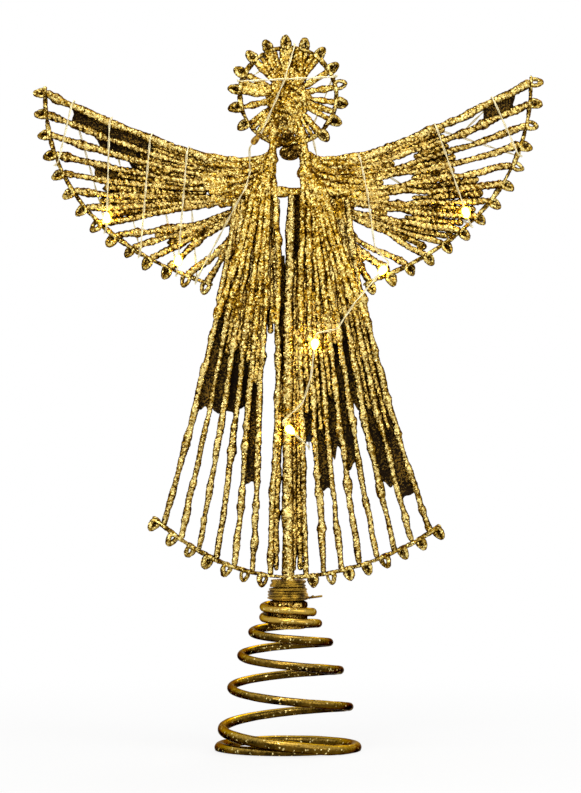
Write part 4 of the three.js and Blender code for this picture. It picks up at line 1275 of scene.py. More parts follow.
@dataclass
class Skirt:
    """Post, ribs that fan out to the hem, hem wires and the card behind the inner ribs."""

    collar: Collar
    rib_radius: float = 1.2
    rib_taper: float = 0.86
    rib_knots: Pair = (3, 8)
    rib_pitch: float = 2 * rib_radius + STACK.seat_gap
    first_rib_top: float = STACK.post_radius + STACK.seat_gap + rib_radius
    coat: float = 0.14
    ribs: dict[Side, int] = by_side(7, 8)
    flare: dict[Side, float] = by_side(1.3, 1.42)
    leans: dict[Side, Lean] = by_side(
        Lean(0.12, 0.87, (0, 1, 2, 3, 4), (0, -0.32, 0.24, 0.1, 0)),
        Lean(-0.42, 0.42, (0, 1, 2, 3, 4, 5), (0, 0.75, 0.45, 0.25, 0.1, 0)),
    )
    hem_pitch: float = 7.0
    hem_bow: float = 14.0
    hem_end: float = 1.7
    hem_glued: float = 0.6
    hem_curve: dict[Side, float] = by_side(62.0, 94.0)
    card_top: float = 0.13
    slit_tops: dict[Side, float] = by_side(0.15, -0.01)
    card_feet: dict[Side, Values] = by_side(
        (0.62, 0.33, 0.78, 0.58, 0.6, 0.6, 0.64), (0.19, 0.62, 0.78, 0.68, 0.74, 0.58, 0.82, 0.88)
    )
    card_grid: Pair = (50, 13)
    card_tear: float = 0.012
    card_ripple: float = 0.25
    card_ripples: float = 9.0
    fill_top: float = -0.015
    fill_feet: dict[Side, Values] = by_side(
        (0.36, 0.5, 0.45, 0.41, 0.45, 0.33), (0.57, 0.62, 0.54, 0.4, 0.33, 0.6, 0.68)
    )
    fill_depth: float = 0.55
    fill_knots: int = 3
    post_lean: float = 1.6
    post_coating: Coating = Coating(
        lump=0.06, knots=9, knot_height=0.22, knot_width=2.5, wobble=0.1, taper=0.68
    )
    post_cords: tuple[tuple[Side, float, float], ...] = (
        (Side.RIGHT, 0.35, 0.16), (Side.RIGHT, 0.7, 0.2), (Side.LEFT, 0.68, 0.45),
    )
    post_cord_radius: float = 1.1
    post_cord_depth: float = 0.5
    post_cord_foot: float = 0.985
    post_cord_knots: int = 6

    @property
    def first_rib_hem(self) -> float:
        """Reach of the first rib at the hem."""
        binding = self.collar.binding_radius / math.cos(math.pi / 10) + self.collar.binding_wire / 2
        return binding + STACK.seat_gap + (STACK.eyelet_radius + STACK.edge_wire / 2) - STACK.eyelet_lead

    @property
    def half_width(self) -> float:
        """Reach of the outermost rib at the hem."""
        return self.first_rib_hem + (max(self.ribs.values()) - 1) * self.hem_pitch

    def bar_end(self, side: Side) -> float:
        """Reach of the chest bar on one side."""
        return self.first_rib_top + (self.ribs[side] - 1) * self.rib_pitch + self.rib_radius

    def hem_points(self, side: Side, reach: Array) -> Array:
        """Hem at distances from the post: back by a square law, up by reach^2 / 2c."""
        bow, rise = self.hem_bow * (reach / self.half_width) ** 2, reach**2 / (2 * self.hem_curve[side])
        return np.stack([side.value * reach, bow, STACK.hem_height + rise], axis=-1)

    def rib_points(self, side: Side, number: Array | float, share: Array | float) -> Array:
        """Ribs, side by side under the bar and evenly spaced at the hem: they flare as share^flare, and lean.

        Args:
            side: Side of the skirt.
            number: Numbers of the ribs, 1 next to the post.
            share: Shares of the way down.

        Returns:
            Points on the ribs' axes.
        """
        number = number + self.leans[side].at(number, share)
        foot = self.hem_points(side, self.first_rib_hem + (number - 1) * self.hem_pitch)
        top = side.value * (self.first_rib_top + (number - 1) * self.rib_pitch)
        x = top + (foot[..., 0] - top) * np.maximum(share, 0) ** self.flare[side]
        z = STACK.rib_top + (foot[..., 2] - STACK.rib_top) * share
        return np.stack([x, foot[..., 1] * share**2, z], axis=-1)

    def hem(self, side: Side) -> LoopedEdge:
        """Hem wire of one side, with an eyelet outside each rib.

        Args:
            side: Side of the skirt.

        Returns:
            The looped wire.
        """
        lead = STACK.eyelet_lead
        rib_feet = self.first_rib_hem + np.arange(self.ribs[side]) * self.hem_pitch
        reach = np.linspace(STACK.post_radius / 2, rib_feet[-1] + self.hem_end * lead, 500)
        line = self.hem_points(side, reach)
        eyelets = np.interp(rib_feet + lead, reach, distances(line))
        return LoopedEdge(line, eyelets, STACK.chest_height * AXIS_Z)

    def card(self) -> Surface:
        """Card behind the ribs: a torn tongue for each gap, over rib numbers and shares down.

        Returns:
            The closed tongues.
        """
        tongues = []
        rows, columns = self.card_grid
        for side, feet in self.card_feet.items():
            for number, foot in enumerate(feet):
                gap = number + 0.5
                rng = numbered(310, side, number)
                torn = foot + self.card_tear * torn_edge(columns, rng)
                top = self.card_top if number else self.slit_tops[side]
                share = top + (torn - top) * shares(rows)[:, None]
                front = self.rib_points(side, gap + np.linspace(-0.5, 0.5, columns), share)
                front[..., 1] += STACK.post_radius + STACK.seat_gap
                front[..., 1] += self.card_ripple * np.sin(self.card_ripples * share + gap)
                tongues.append(card_sheet(front, side, STACK.card_thickness))
        return Surface.join(tongues)

    def fillers(self) -> Surface:
        """Cords glued behind the gaps of the ribs, from the chest down, and long cords beside the post.

        Returns:
            The cords.
        """
        cords = []
        for side, feet in self.fill_feet.items():
            for number, foot in enumerate(feet, 1):
                rng = numbered(270, side, number)
                line = self.rib_points(side, number + 0.5, np.linspace(self.fill_top, foot, 60))
                cords.append(cord(line + self.fill_depth * AXIS_Y, self.rib_radius, rng, self.fill_knots))
        for number, (side, gap, top) in enumerate(self.post_cords):
            line = self.rib_points(side, gap, np.linspace(top, self.post_cord_foot, 80))
            line = line + self.post_cord_depth * AXIS_Y
            cords.append(cord(line, self.post_cord_radius, seeded(290 + number), self.post_cord_knots))
        return Surface.join(cords)

    def build(self, palette: Palette) -> None:
        """Makes post, ribs, hem wires and card.

        Args:
            palette: Materials.
        """
        foot = self.collar.foot
        rise = shares(60)
        post = (foot + (STACK.rib_top + STACK.bar_radius - foot) * rise)[:, None] * AXIS_Z
        post[:, 0] = self.post_lean * np.clip(2 * rise - 1, 0, 1) ** 2
        post_cord = self.post_coating.tube(post, STACK.post_radius, seeded(20), AXIS_Y)
        place_piece(post_cord, "post_cord", palette.cord, "centre_post")
        for side in Side:
            for number in range(1, self.ribs[side] + 1):
                rng = numbered(200, side, number)
                coating = Coating(knots=int(rng.integers(*self.rib_knots)), taper=self.rib_taper)
                line = self.rib_points(side, number, shares(120))
                rib = coating.tube(line, self.rib_radius + self.coat, rng, AXIS_Y)
                name = f"skirt_rib_{side.label}_{number}"
                place_piece(rib, f"{name}_cord", palette.cord, name)
            seeds = (240 + side.value, 250 + side.value)
            self.hem(side).dress(f"skirt_hem_{side.label}", seeds, self.hem_glued, palette)
        # Cords behind the gaps get the darker glitter, as painted shade.
        place_piece(self.fillers(), "skirt_fillers", palette.inner_cord)
        place_piece(self.card(), "skirt_card", palette.card, "skirt_backing")


@dataclass
class Chest:
    """Bar between ribs and neck, cords laid over it and over the shoulders, neck stems and chin."""

    skirt: Skirt
    wings: dict[Side, "Wing"]
    bar_coating: Coating = Coating(knots=8, knot_height=0.2)
    drape_start: Triple = (5.0, 0.22, 9.0)
    drape_fall: float = 0.1
    drape_bend: Triple = (4.0, 0.4, 3.6)
    drape_depth: float = 0.4
    drape_shares: Triple = (0.05, 0.16, 0.3)
    drape_uneven: Span = (0.08, 0.45)
    drape_gather: Span = (1.15, 0.6)
    drape_hug: Triple = (0.8, 0.9, 0.3)
    drape_radius: Span = (0.85, 1.45)
    drape_knots: int = 3
    lumps: int = 22
    lump_gaps: Span = (1.2, 0.8)
    lump_shares: Span = (0.02, 0.34)
    lump_depth: Span = (2.2, 3.0)
    lump_width: Span = (1.1, 2.2)
    lump_height: Span = (1.8, 4.2)
    lump_half_depth: float = 0.9
    shoulder_cords: int = 12
    shoulder_radius: float = 1.2
    shoulder_depths: Span = (1.4, -0.6)
    shoulder_hug: float = 0.3
    shoulder_top: Triple = (0.1, 17.0, 0.9)
    shoulder_bend: Values = (7.5, 0.55, 9.5, 1.25)
    shoulder_end: Triple = (0.62, 0.3, 0.008)
    stem_radius: float = 1.75
    stem_coat: float = 0.1
    stem_flare: float = 3.4
    stem_spread: float = 6.2
    stem_bend: float = 5.0
    stem_top: Span = (0.8, 6.0)
    stem_knots: int = 2
    flank_radius: float = 1.3
    flank_spread: Span = (1.9, 0.3)
    flank_depth: float = 0.8
    flank_share: float = 0.8
    chin_flatness: float = 0.75
    chin_depth: float = 0.7
    chin_shift: Span = (0.8, 0.9)
    beads: tuple[tuple[Triple, float], ...] = (
        ((-2.0, -2.6, 245.0), 1.9), ((-0.4, -2.6, 239.2), 2.2), ((2.9, -2.2, 234.2), 2.4),
    )

    def drape(self) -> list[Surface]:
        """Short cords from the neck's foot over the bar and down between the ribs.

        Returns:
            The cords.
        """
        cords = []
        skirt, bar = self.skirt, STACK.chest_height
        depth = -STACK.bar_radius - self.drape_depth
        front = depth * AXIS_Y
        top_out, top_share, top_rise = self.drape_start
        bend_out, bend_share, bend_rise = self.drape_bend
        ragged, aside = self.drape_uneven
        gathered, released = self.drape_gather
        bend_hug, middle_hug, end_hug = self.drape_hug
        for side in Side:
            for number in range(1, skirt.ribs[side] + 1):
                rng = numbered(300, side, number)
                reach = skirt.first_rib_top + (number - 1) * skirt.rib_pitch
                down = np.array(self.drape_shares)
                down[2] += ragged * rng.uniform()
                rib = skirt.rib_points(side, number, down)
                gather = np.array([-side.value * gathered, 0.0, 0.0]) * max(number - 2, 0)
                top = side.value * (top_share * reach + top_out)
                bend = side.value * (bend_share * reach + bend_out)
                points = np.array([
                    [top, 0.0, bar + top_rise - self.drape_fall * reach],
                    [bend, bend_hug * depth, bar + bend_rise],
                    rib[0] + front + gather,
                    rib[1] + middle_hug * front + released * gather,
                    rib[2] + end_hug * front,
                ])
                points[1:4, 0] += aside * rng.standard_normal(3)
                line = self.smooth(points)
                cords.append(cord(line, rng.uniform(*self.drape_radius), rng, self.drape_knots))
        return cords

    def glue_lumps(self) -> list[Surface]:
        """Flat lumps of glitter glue that bridge the cords on the front of the chest.

        Returns:
            The lumps.
        """
        lumps = []
        near, slope = self.lump_depth
        first, margin = self.lump_gaps
        for side in Side:
            rng = seeded(360 + side.value)
            for number in range(self.lumps):
                gap = rng.uniform(first, self.skirt.ribs[side] - margin)
                share = rng.uniform(*self.lump_shares)
                middle = self.skirt.rib_points(side, gap, share) - (near - slope * share) * AXIS_Y
                size = (rng.uniform(*self.lump_width), self.lump_half_depth, rng.uniform(*self.lump_height))
                lumps.append(ball(middle, size, 370 + number))
        return lumps

    @staticmethod
    def smooth(points: Array) -> Array:
        """Path with its corners cut twice, each time a quarter of the way along both sides."""
        for _ in range(2):
            near, far = points[:-1], points[1:]
            quarters = np.stack([0.75 * near + 0.25 * far, 0.25 * near + 0.75 * far], axis=1)
            points = np.concatenate([points[:1], quarters.reshape(-1, 3), points[-1:]])
        return points

    def shoulder(self, side: Side) -> list[Surface]:
        """Cords that leave a stem and bend into the wing, so that neck and wing run into each other.

        Args:
            side: Side of the figure.

        Returns:
            The cords.
        """
        cords = []
        bar = STACK.chest_height
        step, top, fall = self.shoulder_top
        bend_out, bend_step, bend_rise, bend_fall = self.shoulder_bend
        rib_step, share, share_step = self.shoulder_end
        for number in range(self.shoulder_cords):
            rng = numbered(330, side, number)
            depth = self.shoulder_depths[number % 2]
            out = side.value * (self.stem_spread + step * number)
            start = np.array([out, self.shoulder_hug * depth, bar + top - fall * number])
            end = self.wings[side].rib_line(rib_step * number, np.array([share - share_step * number]))[0]
            out = side.value * (bend_out + bend_step * number)
            bend = np.array([out, end[1] / 2 + depth, bar + bend_rise - bend_fall * number])
            line = bezier(start, bend, end, shares(40))
            cords.append(cord(line, self.shoulder_radius, rng, self.stem_knots))
        return cords

    def stem(self, side: Side) -> list[Surface]:
        """Neck stem, flared at its foot, and a thinner cord on its outer flank.

        Args:
            side: Side of the figure.

        Returns:
            The two cords.
        """
        rng = seeded(310 + side.value)
        foot = STACK.chest_height + STACK.bar_radius
        ring = STACK.head_height - math.sqrt(STACK.head_radius**2 - self.stem_spread**2)
        wide = self.stem_spread + self.stem_flare - self.stem_radius
        inward, above = self.stem_top
        line = bezier(
            np.array([side.value * wide, 0.0, foot]),
            np.array([side.value * self.stem_spread, 0.0, foot + self.stem_bend]),
            np.array([side.value * (self.stem_spread - inward), 0.0, ring + above]),
            shares(30),
        )
        stem = cord(line, self.stem_radius + self.stem_coat, rng, self.stem_knots)
        line[:, 0] += side.value * np.linspace(*self.flank_spread, len(line))
        line[:, 1] -= self.flank_depth
        flank = cord(line[:int(self.flank_share * len(line))], self.flank_radius, rng, self.stem_knots)
        return [stem, flank]

    def chin(self) -> Surface:
        """Flat lump between the stems, with beads of glue on it.

        Returns:
            The lump and its beads.
        """
        radius = self.stem_spread - self.stem_radius - STACK.seat_gap
        height = STACK.head_height - STACK.head_radius - STACK.edge_wire / 2 - STACK.seat_gap
        flat = radius * self.chin_flatness
        aside, above = self.chin_shift
        middle = np.array([aside, 0.0, height - flat + above])
        lumps = [ball(middle, (radius, self.chin_depth * radius, flat), 313)]
        for seed, (place, size) in enumerate(self.beads):
            lumps.append(ball(np.array(place), (size, self.chin_depth * size, size), seed))
        return Surface.join(lumps)

    def build(self, palette: Palette) -> None:
        """Makes bar, cords over it, stems and chin.

        Args:
            palette: Materials.
        """
        ends = [-self.skirt.bar_end(Side.LEFT), self.skirt.bar_end(Side.RIGHT)]
        bar = np.array([[end, 0.0, STACK.chest_height] for end in ends])
        bridge = self.bar_coating.tube(bar, STACK.bar_radius, seeded(301), AXIS_Y)
        chest = Surface.join([bridge, *self.drape(), *self.glue_lumps()])
        place_piece(chest, "chest_cords", palette.pressed, "chest_bar")
        for side in Side:
            neck = Surface.join([*self.stem(side), *self.shoulder(side)])
            name = f"neck_stem_{side.label}"
            place_piece(neck, f"{name}_cords", palette.pressed, name)
        place_piece(self.chin(), "chin_lump", palette.dark_cord, "chin_knot")


@dataclass
class Head:
    """Wheel of looped ring wire and short cords, glued in an irregular middle."""

    eyelet_pitch: float = 6.6
    eyelet_start: float = -50.0
    eyelet_sweep: float = 265.0
    eyelets_glued: float = 0.8
    spoke_radius: float = 1.15
    spoke_start: float = 0.15
    glued_sectors: Values = (-20, 60, 67, 78, 87, 98, 108, 118, 126, 163, 169)
    chin_sectors: Values = (222, 230, 239, 248, 257, 266, 275, 284, 293, 302)
    hub_radius: float = 9.2
    hub_half_depth: float = 2.6
    hub_drop: float = 1.5
    dome_reach: float = 0.82
    dome_depth: float = 0.7
    jaw_places: Triple = (-4.6, 0.0, 4.8)
    jaw_rise: float = 1.0
    jaw_size: Triple = (3.0, 2.0, 2.6)
    strands: int = 26
    strand_offset: float = 0.7
    strand_half: Span = (0.5, 0.85)
    strand_radius: Span = (0.8, 1.25)
    strand_front: float = 0.65
    strand_bow: float = 1.2

    @property
    def angles(self) -> Array:
        """Angles of the eyelets and their spokes."""
        count = int(math.radians(self.eyelet_sweep) * STACK.head_radius / self.eyelet_pitch) + 1
        return np.radians(self.eyelet_start + self.eyelet_sweep * np.arange(count) / (count - 1))

    def ring(self) -> LoopedEdge:
        """Ring wire, from under the chin round the head.

        Returns:
            The looped wire.
        """
        radius = STACK.head_radius
        opening = STACK.edge_wire / radius
        turn = -math.pi / 2 + opening / 2 + (2 * math.pi - opening) * shares(721)
        height = STACK.head_height + radius * np.sin(turn)
        line = np.stack([radius * np.cos(turn), np.zeros_like(turn), height], axis=1)
        eyelets = (self.angles + math.pi / 2) / (2 * math.pi) * distances(line)[-1]
        return LoopedEdge(line, eyelets, STACK.head_height * AXIS_Z)

    def spokes(self) -> list[Surface]:
        """Straight cords from the middle of the head to the ring.

        Returns:
            The cords.
        """
        centre = STACK.head_height * AXIS_Z
        glued = np.radians(self.glued_sectors + self.chin_sectors)
        cords = []
        for number, angle in enumerate(np.concatenate([self.angles, glued])):
            reach = STACK.head_radius * np.array([math.cos(angle), 0.0, math.sin(angle)])
            line = np.stack([centre + self.spoke_start * reach, centre + reach])
            cords.append(cord(line, self.spoke_radius, seeded(400 + number), 1))
        return cords

    def middle(self) -> list[Surface]:
        """Lumpy dome and short cords glued across it, with lumps along the jaw.

        Returns:
            The dome, the lumps and the cords.
        """
        centre = (STACK.head_height - self.hub_drop) * AXIS_Z
        reach = self.dome_reach * self.hub_radius
        parts = [ball(centre, (reach, self.hub_half_depth * self.dome_depth, reach), 430)]
        low = STACK.head_height - STACK.head_radius
        for x in self.jaw_places:
            parts.append(ball(np.array([x, 0.0, low + self.jaw_rise]), self.jaw_size, 432 + int(x)))
        rng = seeded(431)
        for turn in rng.uniform(0, math.pi, self.strands):
            across = np.array([math.cos(turn), 0.0, math.sin(turn)])
            aside = np.array([-math.sin(turn), 0.0, math.cos(turn)])
            beside = centre + aside * rng.uniform(-self.strand_offset, self.strand_offset) * self.hub_radius
            half = rng.uniform(*self.strand_half) * self.hub_radius * across
            face = -self.hub_half_depth if rng.uniform() < self.strand_front else self.hub_half_depth
            middle = beside + self.strand_bow * face * AXIS_Y
            line = bezier(beside - half, middle, beside + half, shares(20))
            parts.append(Coating(knots=2).tube(line, rng.uniform(*self.strand_radius), rng))
        return parts

    def build(self, palette: Palette) -> None:
        """Makes the ring and the wheel inside it.

        Args:
            palette: Materials.
        """
        self.ring().dress("head_ring", (440, 441), self.eyelets_glued, palette)
        wheel = Surface.join([*self.spokes(), *self.middle()])
        place_piece(wheel, "head_wheel", palette.pressed, "head_spokes")


@dataclass
class Wing:
    """One wing: a spar, a fan of ribs with shorter cords between them, a looped edge and a scrap of card."""

    side: Side
    root_reach: float = 10.5
    root_rise: float = 7.3
    root_length: float = 19.0
    root_slant: float = math.radians(21.0)
    tip_reach: float = 95.6
    tip_rises: dict[Side, float] = by_side(42.2, 46.4)
    bulge_reach: float = 96.5
    bulge_drops: dict[Side, float] = by_side(14.5, 11.0)
    heel_reach: float = 29.5
    heel_drop: float = 36.0
    sweep_back: float = 0.1
    sag: float = 5.0
    eyelet_pitch: float = 8.0
    eyelets_glued: float = 0.65
    coat: float = 0.12
    root_thin: float = 0.74
    spar_coating: Coating = Coating(knots=5, knot_height=0.3)
    # The wing ribs' plies carry stronger painted highlights and painted shade.
    rib_coating: Coating = Coating(knots=3, ply_pitch=2.3, ply_depth=0.07, ply_painted_light=0.13)
    slots: dict[Side, Values] = by_side((7.5, 11.4), (10.6,))
    slot_push: float = 0.8
    slot_width: float = 1.3
    slot_end: Span = (0.35, 0.95)
    fills: dict[Side, Values] = by_side(
        (0.5, 0.55, 0.58, 0.7, 0.8, 0.88, 0.9, 0.12, 0.76, 0.74, 0.55, 0.14, 0.6),
        (0.6, 0.62, 0.66, 0.68, 0.84, 0.92, 0.95, 0.96, 0.96, 0.9, 0.1, 0.3, 0.7),
    )
    first_fills: Values = (0.3, 0.7)
    fill_depth: float = 0.7
    holes: dict[Side, tuple[Triple, ...]] = by_side(
        ((4.5, 0.15, 0.25),),
        ((1.5, 0.36, 0.45), (3.5, 0.32, 0.46), (5.5, 0.38, 0.51), (7.5, 0.2, 0.31), (7.5, 0.43, 0.55)),
    )
    hole_push: float = 1.3
    hole_width: float = 0.8
    hole_length: float = 0.6
    hole_margin: float = 0.06
    lumps: int = 30
    lump_gaps: Pair = (1, 11)
    lump_shares: Span = (0.25, 1.0)
    lump_places: Span = (0.3, 0.7)
    lump_width: Span = (1.3, 2.8)
    lump_height: Span = (1.0, 1.7)
    lump_half_depth: float = 0.9
    lump_depth: float = 0.5
    card_spans: dict[Side, tuple[Span, ...]] = by_side(
        ((0.4, 0.88), (0.4, 0.76), (0.4, 0.62), (0.4, 0.84), (0.4, 0.8)),
        ((0.78, 0.93), (0.47, 0.6), (0.4, 0.63), (0.49, 0.65)),
    )
    card_grid: Pair = (9, 40)
    card_tear: float = 0.015
    card_ripple: float = 0.15
    card_ripples: float = 6.0

    @property
    def tip_rise(self) -> float:
        """Height of this wing's tip over the chest bar."""
        return self.tip_rises[self.side]

    def point(self, reach: float, rise: float, depth: float = 0.0) -> Array:
        """Point of the wing's plane, moved back by a depth."""
        y = STACK.wing_plane + self.sweep_back * (reach - self.root_reach) + depth
        return np.array([self.side.value * reach, y, STACK.chest_height + rise])

    def root(self, distance: float) -> Array:
        """Point of the slanted root line, at a distance below the spar."""
        out, down = distance * math.sin(self.root_slant), distance * math.cos(self.root_slant)
        return self.point(self.root_reach + out, self.root_rise - down)

    def edge(self) -> LoopedEdge:
        """Edge wire from the tip round to the heel.

        Returns:
            The looped wire.
        """
        line = bezier(
            self.point(self.tip_reach, self.tip_rise),
            self.point(self.bulge_reach, -self.bulge_drops[self.side]),
            self.point(self.heel_reach, -self.heel_drop),
            shares(600),
        )
        reach = distances(line)[-1] - 2 * STACK.eyelet_lead
        count = int(reach / self.eyelet_pitch) + 1
        eyelets = STACK.eyelet_lead + reach * np.arange(count) / (count - 1)
        return LoopedEdge(line, eyelets, self.root(self.root_length / 2))

    def rib_line(self, number: float, outward: Array) -> Array:
        """Sagging line of a rib from root to edge: the spar, number 0, sags most and the last rib not at all.

        Args:
            number: Number of the rib; halves lie between two ribs.
            outward: Shares of the way out.

        Returns:
            Points of the rib.
        """
        edge = self.edge()
        count = len(edge.eyelets)
        first_root = STACK.spar_radius + STACK.seat_gap + STACK.wing_rib_radius
        root_pitch = (self.root_length - first_root) / (count - 2)
        start = self.root(number * first_root if number < 1 else first_root + (number - 1) * root_pitch)
        place = np.interp(number, np.arange(count), edge.eyelets)
        end = edge.frame_at(np.array([place]))[0][0]
        middle = (start + end) / 2 - self.sag * (1 - number / (count - 1)) * AXIS_Z
        return bezier(start, middle, end, outward)

    def bundled(self, number: float, outward: Array) -> Array:
        """Rib that leans away from slots near the root and from holes, and meets the edge at its own eyelet.

        Args:
            number: Number of the rib; halves lie between two ribs.
            outward: Shares of the way out.

        Returns:
            Points of the rib.
        """
        away = number - np.array(self.slots[self.side])
        lean = (np.sign(away) * np.exp(-((away / self.slot_width) ** 2))).sum()
        aside = self.rib_line(max(min(number, 1.0), number + self.slot_push * lean), outward)
        first, last = self.slot_end
        weight = ease((outward - first) / (last - first))[:, None]
        line = aside * (1 - weight) + self.rib_line(number, outward) * weight
        for gap, near, far in self.holes[self.side]:
            reach = np.exp(-(((outward - (near + far) / 2) / (self.hole_length * (far - near))) ** 2))
            push = np.sign(gap - number) * math.exp(-(((number - gap) / self.hole_width) ** 2))
            line = line + self.hole_push * push * reach[:, None] * AXIS_Z
        return line

    def filler_spans(self) -> list[Triple]:
        """Filler cords between the ribs, broken off at the holes.

        Returns:
            Gap number and the shares of both ends, of each cord.
        """
        spans = []
        for gap, share in enumerate(self.fills[self.side]):
            for number in (gap + 0.5,) if gap else self.first_fills:
                broken = [end for hole, *ends in self.holes[self.side] if hole == number for end in ends]
                ends = [0.0, *broken, share]
                spans.extend((number, near, far) for near, far in zip(ends[::2], ends[1::2]))
        return spans

    def in_hole(self, gap: int, share: float) -> bool:
        """Whether a place in a gap lies in one of the holes or at its rim."""
        holes = [(near, far) for hole, near, far in self.holes[self.side] if hole == gap + 0.5]
        return any(near - self.hole_margin < share < far + self.hole_margin for near, far in holes)

    def glue_lumps(self) -> list[Surface]:
        """Flat lumps of glitter glue over the gaps that hold a filler cord.

        Returns:
            The lumps.
        """
        rng = seeded(560 + self.side.value)
        lumps = []
        for number in range(self.lumps):
            gap = int(rng.integers(*self.lump_gaps))
            share = rng.uniform(*self.lump_shares) * self.fills[self.side][gap]
            middle = self.bundled(gap + rng.uniform(*self.lump_places), np.array([share]))[0]
            size = (rng.uniform(*self.lump_width), self.lump_half_depth, rng.uniform(*self.lump_height))
            if not self.in_hole(gap, share):
                lumps.append(ball(middle - self.lump_depth * AXIS_Y, size, 570 + number))
        return lumps

    def card(self) -> Surface:
        """Scraps of card behind the upper ribs: torn tongues over rib numbers and shares out.

        Returns:
            The closed tongues.
        """
        tongues = []
        rows, columns = self.card_grid
        outer = shares(columns)
        for number, (near, far) in enumerate(self.card_spans[self.side]):
            rng = numbered(520, self.side, number)
            gap = number + 0.5
            torn = far + self.card_tear * torn_edge(rows, rng)
            ribs = gap + np.linspace(-0.5, 0.5, rows)
            lines = [self.rib_line(rib, near + (end - near) * outer) for rib, end in zip(ribs, torn)]
            front = np.stack(lines)
            front[..., 1] += max(STACK.spar_radius, STACK.wing_rib_radius) + STACK.seat_gap
            front[..., 1] += self.card_ripple * np.sin(self.card_ripples * outer + gap)
            tongues.append(card_sheet(front, self.side, STACK.card_thickness))
        return Surface.join(tongues)

    def build(self, palette: Palette) -> None:
        """Makes spar, ribs, edge and card.

        Args:
            palette: Materials.
        """
        label = self.side.label
        outward = shares(60)
        rng = seeded(500 + self.side.value)
        spar = self.spar_coating.tube(self.rib_line(0, outward), STACK.spar_radius + self.coat, rng, AXIS_Y)
        place_piece(spar, f"wing_spar_{label}_cord", palette.cord, f"wing_spar_{label}")
        edge = self.edge()
        coating = replace(self.rib_coating, taper=1 / self.root_thin)
        radius = self.root_thin * (STACK.wing_rib_radius + self.coat)
        lines = [self.bundled(number, outward) for number in range(1, len(edge.eyelets))]
        fan = Surface.join([coating.tube(line, radius, rng, AXIS_Y) for line in lines])
        place_piece(fan, f"wing_fan_{label}", palette.fan, f"wing_ribs_{label}")
        spans = self.filler_spans()
        lines = [self.bundled(number, near + (far - near) * outward) for number, near, far in spans]
        inner = [coating.tube(line + self.fill_depth * AXIS_Y, radius, rng, AXIS_Y) for line in lines]
        fillers = Surface.join([*inner, *self.glue_lumps()])
        # Cords behind the gaps get the darker glitter, as painted shade.
        place_piece(fillers, f"wing_fillers_{label}", palette.inner_cord)
        seeds = (540 + self.side.value, 550 + self.side.value)
        edge.dress(f"wing_edge_{label}", seeds, self.eyelets_glued, palette)
        place_piece(self.card(), f"wing_card_{label}", palette.card, f"wing_backing_{label}")


